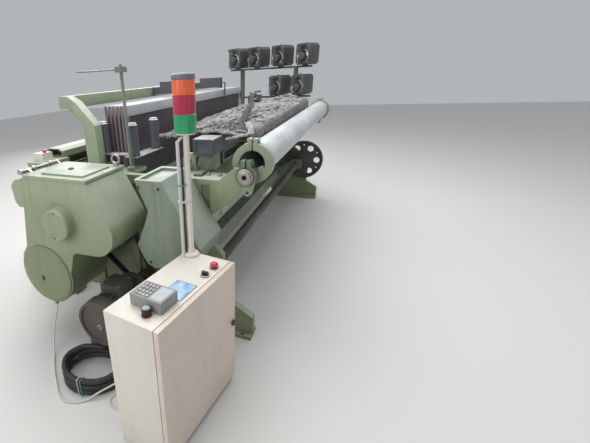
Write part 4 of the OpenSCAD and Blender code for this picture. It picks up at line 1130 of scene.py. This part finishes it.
# Reed dents
reed = {
    # in millimetres from the loom's middle, the growth in metres
    "dents": 400,
    "step": 4.96,
    "first": ((-990, 261.2, 868), (-989.2, 268.8, 998)),
    "cuts": (933,),
    "growth": 0.0006,
}


def makeReedDents():
    low, high = reed["first"]
    dent = addBox(toLoom(*low), toLoom(*high))
    swell(dent, reed["cuts"], 1, reed["growth"])
    repeatRow(dent, reed["dents"], (reed["step"] / 1000, 0, 0))
    finishPiece(dent, "reedDents", "bareSteel", "sley_body")


print("reed")
makeReedDents()


# Stack light: ribbed lenses over a pale core
cabinetCorner = (-1.888, -0.682, 0)
cabinetTurn = math.radians(-8.3)
stack = {
    # in millimetres from the cabinet's corner
    "u": 477,
    "v": 192,
    "bottom": 1106,
    "pitch": 66,
    "radius": 42,
    "ribs": 24,
    "ribDepth": 0.7,
    "lights": {"Green": 66, "Red": 66, "Orange": 52},
}


def toCabinet(piece):
    # a piece drawn from the cabinet's corner goes to its place when it is finished
    piece.rotation_euler = (0, 0, cabinetTurn)
    piece.location = cabinetCorner
    return piece


def makeLens(number, name, high):
    middle = Vector((stack["u"] / 1000, stack["v"] / 1000, 0))
    level = stack["bottom"] + number * stack["pitch"] + high / 2
    radius = stack["radius"] / 1000
    lens = addRound(radius, high / 1000 - 0.001, (middle.x, middle.y, level / 1000), stack["ribs"] * 4)
    selectFaces(lens, lambda centre, normal: abs(normal.z) > 0.5)
    bpy.ops.mesh.inset(thickness=0.003)
    bpy.ops.mesh.inset(thickness=0.004, depth=-0.002)
    bpy.ops.object.mode_set(mode="OBJECT")
    # the outer corners are pressed in between the ribs
    for corner in lens.data.vertices:
        out = Vector((corner.co.x - middle.x, corner.co.y - middle.y, 0))
        if out.length > radius - 0.0005:
            angle = math.atan2(out.y, out.x) * stack["ribs"]
            pressed = stack["ribDepth"] / 1000 * (1 - math.cos(angle))
            out = out.normalized() * (radius - pressed)
            corner.co.x, corner.co.y = middle.x + out.x, middle.y + out.y
    softenEdges(lens, 0.0006, 1, 50)
    slot, node = "lens_" + name.lower(), "stack_" + name.lower()
    finishPiece(toCabinet(lens), "lens" + name, "lens" + name, replaced=(node,))


print("stack light")
for number, (name, high) in enumerate(stack["lights"].items()):
    makeLens(number, name, high)


# Stop motion: bright rail caps, drop wires, the end box's trim and the lease rod
stopMotion = {
    # in millimetres from the loom's middle, the rim and the rod's size in metres
    "rows": [-480, -458, -436, -418],
    "along": (-971, 1091),
    "capHalf": 2.6,
    "capHeights": (1001, 1006),
    "trim": ((-1111, -507, 1003), (-979, -502, 1009)),
    "wires": 206,
    "wireStep": 9,
    "wireFirst": -796,
    "wireSize": (0.5, 5),
    "wireHeights": (956, 1024),
    "slotRim": 0.0024,
    "rod": {"radius": 0.006, "length": 0.935, "middle": (-467, -505, 1016)},
}


def makeStopRails():
    (near, far), (low, high), half = stopMotion["along"], stopMotion["capHeights"], stopMotion["capHalf"]
    caps = []
    for y in stopMotion["rows"]:
        cap = addBox(toLoom(near, y - half, low), toLoom(far, y + half, high))
        softenEdges(cap, 0.0012)
        caps.append(cap)
    trim = addBox(*(toLoom(*corner) for corner in stopMotion["trim"]))
    softenEdges(trim, 0.0015)
    finishPiece(joinPieces(caps + [trim]), "stopRailCaps", "bareSteel")


def makeDropWires():
    # a flat strip with its open slot, hung in four rows
    (thick, half), (low, high) = stopMotion["wireSize"], stopMotion["wireHeights"]
    strips = []
    for row, y in enumerate(stopMotion["rows"]):
        x = stopMotion["wireFirst"] + 2 * row
        strip = addBox(toLoom(x, y - half, low), toLoom(x + thick, y + half, high))
        openHole(strip, 0, stopMotion["slotRim"])
        repeatRow(strip, stopMotion["wires"], (stopMotion["wireStep"] / 1000, 0, 0))
        strips.append(strip)
    finishPiece(joinPieces(strips), "dropWires", "bareSteel")


def makeLeaseRod():
    own = stopMotion["rod"]
    rod = addRound(own["radius"], own["length"], toLoom(*own["middle"]), 16, (0, math.pi / 2, 0))
    softenEdges(rod, 0.002)
    finishPiece(rod, "leaseRod", "cableWhite")


print("stop motion")
makeStopRails()
makeDropWires()
makeLeaseRod()


# Hexagon bolts with washers: one is modelled, the others are copies of it
def roundPlaces(x, y, z, radius, angles):
    # round an axis that runs along the loom
    turns = [math.radians(a) for a in angles]
    return [(x, y + radius * math.cos(a), z + radius * math.sin(a)) for a in turns]


def bearingPlaces(x):
    corners = (45, 135, 225, 315)
    return roundPlaces(x, 60, 560, 39, corners) + roundPlaces(x, 330, 430, 39, corners)


bolts = {
    # name: radius, direction, finish, places
    "lidScrews": (
        5.4, "z", "darkSteel", [(x, y, 908) for x in (-1598, -1467, -1336) for y in (-112, 232)],
    ),
    "shaftCoverScrews": (4.6, "-x", "darkSteel", roundPlaces(-1655, 52, 700, 62, (100, 280))),
    "roundCoverScrews": (6, "-x", "greenPaint", roundPlaces(-1617, 220, 395, 144, range(20, 380, 60))),
    "guardScrews": (
        7, "-x", "darkSteel",
        [(-1480, y, z) for y, z in ((-400, 862), (-300, 862), (-545, 580), (-330, 500))],
    ),
    "armDeckBolts": (10, "z", "bareSteel", [(x, y, 850) for x in (-1150, 1150) for y in (-555, -495)]),
    "bracketBolts": (6.5, "z", "bareSteel", [(x, y, 851) for x in (-1120, 1120) for y in (157, 254)]),
    "motorFootBolts": (10, "z", "darkSteel", [(x, y, 150) for x in (-1585, -1455) for y in (-247, -63)]),
    "terminalScrews": (5, "z", "bareSteel", [(x, y, 393) for x in (-1580, -1490) for y in (-200, -110)]),
    "nearBearingBolts": (7, "-x", "darkSteel", bearingPlaces(-1224)),
    "farBearingBolts": (7, "x", "darkSteel", bearingPlaces(1224)),
    "farCoverScrews": (6, "x", "darkSteel", [(1490, y, z) for y in (-76, 70, 216) for z in (584, 826)]),
    "feederFootBolts": (9, "z", "bareSteel", [(x, y, 12) for x in (1520, 1712) for y in (-395, 200)]),
    "postBolts": (5, "z", "bareSteel", [(x, y, 906) for x in (-1076, -1051) for y in (28, 150)]),
}
boltTurns = {"z": (0, 0, 0), "x": (0, math.pi / 2, 0), "-x": (0, -math.pi / 2, 0)}


def makeBolt():
    # for a washer of radius 1, standing on the floor
    washer = addRound(1.0, 0.16, (0, 0, 0.08), 20)
    softenEdges(washer, 0.04, 1)
    head = addRound(0.80, 0.56, (0, 0, 0.42), 6)
    moveTop(head, 0.09, 0.07)
    return joinPieces([head, washer])


def placeCopies(pattern, places, size, turn):
    made = []
    for place in places:
        copy = copyPiece(pattern)
        copy.scale = [size] * 3
        copy.rotation_euler = turn
        copy.location = toLoom(*place)
        bake(copy)
        made.append(copy)
    return joinPieces(made)


print("bolts")
boltPattern = makeBolt()
for name, (radius, direction, look, places) in bolts.items():
    group = placeCopies(boltPattern, places, radius / 1000, boltTurns[direction])
    finishPiece(group, name, look)
bpy.data.objects.remove(boltPattern)


# Parts of the castings in another finish: piece, new piece, finish, test on a face's centre in metres
def nearAxis(y, z, reach):
    return lambda centre: math.hypot(centre.y - y, centre.z - z) < reach


def nearPost(x, y, reach):
    return lambda centre: math.hypot(centre.x - x, centre.y - y) < reach


plugHere, eyeHere = nearPost(-1.355, 0.063, 0.0145), nearPost(-1.217, -0.096, 0.030)
motorFace, motorBoss = nearAxis(-0.155, 0.251, 0.101), nearAxis(-0.155, 0.231, 0.0155)
repaints = [
    ("housingLidPlate", "lidRails", "bareSteel", lambda c: c.y > 0.2475),
    ("housingLidPlate", "lidPlug", "slatePaint", lambda c: plugHere(c) and c.z > 0.9215),
    ("housingLidPlate", "lidEyeBolt", "bareSteel", lambda c: eyeHere(c) and c.z > 0.9145),
    ("nearEndRingClamp", "nearJournalHead", "bareSteel", lambda c: c.x < -1.1115),
    ("farEndRingClamp", "farJournalHead", "bareSteel", lambda c: c.x > 1.3675),
    ("motorCasing", "motorBossRing", "bareSteel", lambda c: motorBoss(c) and c.x < -1.5665),
    ("motorCasing", "motorFanFace", "motorFace", lambda c: motorFace(c) and c.x < -1.562),
    ("motorCasing", "motorPedestal", "darkSteel", lambda c: c.z < 0.134),
    ("postShelfSet", "postCaps", "feederPale", lambda c: c.z > 1.0725),
    ("postShelfSet", "postShelfTop", "lightAlloy", lambda c: 0.9055 < c.z < 0.9065),
    ("stopMotionFrame", "stopBoxLid", "stopBoxGray", lambda c: c.z > 1.0075),
    # the stop box's foot and the near bearing cap take the green with painted shade
    ("stopMotionFrame", "stopBoxFoot", "greenShade", lambda c: c.x < -0.868 and c.z < 0.9285),
    ("nearRearArmCasting", "nearBearingCap", "greenShade", lambda c: c.y < -0.662 and c.z > 0.826),
]


def repaint(source, name, look, test):
    splitOff(bpy.data.objects[source], name, look, lambda centre, normal: test(centre))


print("repainted parts")
for row in repaints:
    repaint(*row)


# Weft feeders: white rings, thread eyelets and screws
feeders = {
    "x": 1611,
    "turn": math.radians(-20),
    "upper": (1415, [255, 31, -229, -489]),
    "lower": (1115, [-212, -450]),
    # in metres from a feeder's own axis
    "arm": ((-0.155, -0.0035, -0.081), (-0.066, 0.0035, -0.077)),
    "armBends": [(-0.012, 0, 0.010), (-0.002, 0, 0.056)],
    "eyelet": (-0.170, 0, 0),
    "screws": [(-0.0715, y, z) for y in (-0.056, 0.056) for z in (-0.062, 0.104)],
    "knob": (-0.012, 0, 0.129),
    "ringFrom": 0.052,
    "ringBehind": -0.0742,
    "ringReach": 0.08,
}
feederPlaces = [(feeders["x"], y, z) for z, ys in (feeders["upper"], feeders["lower"]) for y in ys]


def onWhiteRing(centre, normal):
    reach = feeders["ringReach"]
    for place in feederPlaces:
        own = Matrix.Rotation(-feeders["turn"], 3, "Z") @ (centre - toLoom(*place))
        outside = math.hypot(own.y, own.z) > feeders["ringFrom"] and own.x < feeders["ringBehind"]
        if outside and abs(own.y) < reach and abs(own.z) < reach:
            return True
    return False


def makeEyeletArm():
    # a flat arm under the drum, bent up to the eyelet before its nose
    arm = addBox(*feeders["arm"])
    selectFaces(arm, lambda centre, normal: normal.x < -0.5)
    for bend in feeders["armBends"]:
        bpy.ops.mesh.extrude_region_move(TRANSFORM_OT_translate={"value": bend})
    deselectAll()
    bpy.ops.mesh.primitive_torus_add(
        location=feeders["eyelet"], rotation=(0, math.pi / 2, 0), major_segments=20, minor_segments=8,
        major_radius=0.010, minor_radius=0.0032,
    )
    eyelet = bpy.context.object
    screws = [addRound(0.005, 0.004, place, 12, (0, math.pi / 2, 0)) for place in feeders["screws"]]
    knob = addRound(0.011, 0.012, feeders["knob"], 20)
    softenEdges(knob, 0.002)
    for piece in screws + [arm]:
        softenEdges(piece, 0.0008, 1)
    return joinPieces([arm, eyelet, knob] + screws)


def dressFeeders():
    pattern = makeEyeletArm()
    arms = placeCopies(pattern, feederPlaces, 1, (0, 0, feeders["turn"]))
    bpy.data.objects.remove(pattern)
    finishPiece(arms, "feederEyelets", "bareSteel")
    splitOff(bpy.data.objects["feederStandSet"], "feederWhiteRings", "feederPale", onWhiteRing)
    for number in (1, 2, 3):
        drum = bpy.data.objects["feederDrum%d" % number]
        splitOff(drum, "feederWhiteRing%d" % number, "feederPale", onWhiteRing)


print("feeders")
dressFeeders()


# Cabinet top and door: screen, keypad, collars, gasket
cabinet = {
    # in millimetres from the cabinet's corner, the knob's cap in metres
    "top": 600,
    "screen": ((170, 37), (279, 124)),
    "bezel": 3,
    "keypad": ((83.5, 106.5), (158.5, 165.5)),
    "keypadBase": 641,
    "keys": (4, 4),
    "keyGap": (1.6, 1.2),
    "plate": ((84, 51, 643.7), (158, 98, 644.8)),
    # outer and inner radius, height, place
    "collars": [(19, 13.8, 5.5, 356, 52), (21, 11.6, 1.5, 424, 52)],
    "dial": (18.5, 6.5, 1.6, 54, 88),
    "knobCap": (0.0125, 0.0022, (0.054, 0.088, 0.6276)),
    "gasket": ((4, 20.3, 34), (496, 21.7, 596)),
}


def cabinetBox(low, high):
    return addBox([v / 1000 for v in low], [v / 1000 for v in high])


def makePlate(name, look, slot, low, high, edge):
    plate = cabinetBox(low, high)
    softenEdges(plate, edge, 1)
    finishPiece(toCabinet(plate), name, look)


def addRing(outer, inner, low, high, u, v, sides=40):
    ring = addRound(outer / 1000, (high - low) / 1000, (u / 1000, v / 1000, (low + high) / 2000), sides)
    openHole(ring, 2, (outer - inner) / 1000)
    return ring


def topRing(outer, inner, height, u, v):
    # on the cabinet's top, its foot sunk into it
    ring = addRing(outer, inner, cabinet["top"] - 0.5, cabinet["top"] + height, u, v)
    softenEdges(ring, 0.0006)
    return ring


def makeScreen():
    (u0, v0), (u1, v1) = cabinet["screen"]
    top, rim = cabinet["top"], cabinet["bezel"]
    bezel = cabinetBox((u0, v0, top - 0.5), (u1, v1, top + 2.4))
    moveTop(bezel, rim / 1000, -0.0014)
    softenEdges(bezel, 0.0008)
    finishPiece(toCabinet(bezel), "screenBezel", "deviceGray")
    low, high = (u0 + rim, v0 + rim, top + 0.6), (u1 - rim, v1 - rim, top + 1.6)
    makePlate("screenGlass", "screenBlue", "device_gray", low, high, 0.0003)


def makeKeypad():
    (u0, v0), (u1, v1) = cabinet["keypad"]
    base, (gapU, gapV), (across, along) = cabinet["keypadBase"], cabinet["keyGap"], cabinet["keys"]
    makePlate("keypadBoard", "capGray", "device_gray", (u0, v0, base - 0.4), (u1, v1, base + 0.9), 0.0004)
    stepU, stepV = (u1 - u0) / across, (v1 - v0) / along
    low, high = (u0 + gapU, v0 + gapV, base + 0.5), (u0 + stepU - gapU, v0 + stepV - gapV, base + 3.4)
    key = cabinetBox(low, high)
    moveTop(key, 0.0014, 0.0007)
    softenEdges(key, 0.0006, 2, 20)
    repeatRow(key, across, (stepU / 1000, 0, 0))
    repeatRow(key, along, (0, stepV / 1000, 0))
    finishPiece(toCabinet(key), "keypadKeys", "keySilver")


def makeCollars():
    collars = joinPieces([topRing(*values) for values in cabinet["collars"]])
    finishPiece(toCabinet(collars), "buttonCollars", "bareSteel")
    finishPiece(toCabinet(topRing(*cabinet["dial"])), "knobDial", "buttonRed")
    cap = addRound(*cabinet["knobCap"])
    moveTop(cap, 0.0022, -0.0007)
    softenEdges(cap, 0.0005)
    finishPiece(toCabinet(cap), "knobCap", "keySilver", "knob")


def makeGasket():
    strip = cabinetBox(*cabinet["gasket"])
    openHole(strip, 1, 0.010)
    finishPiece(toCabinet(strip), "doorGasket", "blackRubber")


print("cabinet")
makeScreen()
makeKeypad()
makePlate("instrumentPlate", "palePlate", "light_alloy", *cabinet["plate"], 0.0004)
makeCollars()
makeGasket()


# Ties and the dark lead beside the stack light's pole
ties = {
    "coilWhite": ((-1892, -155, 1), (-1860, -151, 91), "cableWhite"),
    "coilGreen": ((-1892, -172, 1), (-1859, -168, 90), "tieGreen"),
}
tieRim = 0.0016
poleLead = {"radius": 4.5, "aside": (-16, 13.5), "heights": (600, 1097)}
poleTie = {"radii": (19, 16.6), "aside": (-20, 17), "heights": (905, 910)}


def makeTie(name, low, high, look):
    band = addBox(toLoom(*low), toLoom(*high))
    openHole(band, 1, tieRim)
    softenEdges(band, 0.004, 3, 40)
    finishPiece(band, name, look)


def besidePole(own):
    return stack["u"] + own["aside"][0], stack["v"] + own["aside"][1]


def makePoleLead():
    (u, v), (low, high) = besidePole(poleLead), poleLead["heights"]
    place = (u / 1000, v / 1000, (low + high) / 2000)
    lead = addRound(poleLead["radius"] / 1000, (high - low) / 1000, place, 12)
    softenEdges(lead, 0.001, 1)
    finishPiece(toCabinet(lead), "poleLead", "blackRubber")
    band = addRing(*poleTie["radii"], *poleTie["heights"], *besidePole(poleTie), 24)
    softenEdges(band, 0.0006, 1)
    finishPiece(toCabinet(band), "poleTie", "tieGreen")


print("ties")
for name, values in ties.items():
    makeTie(name, *values)
makePoleLead()


low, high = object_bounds()
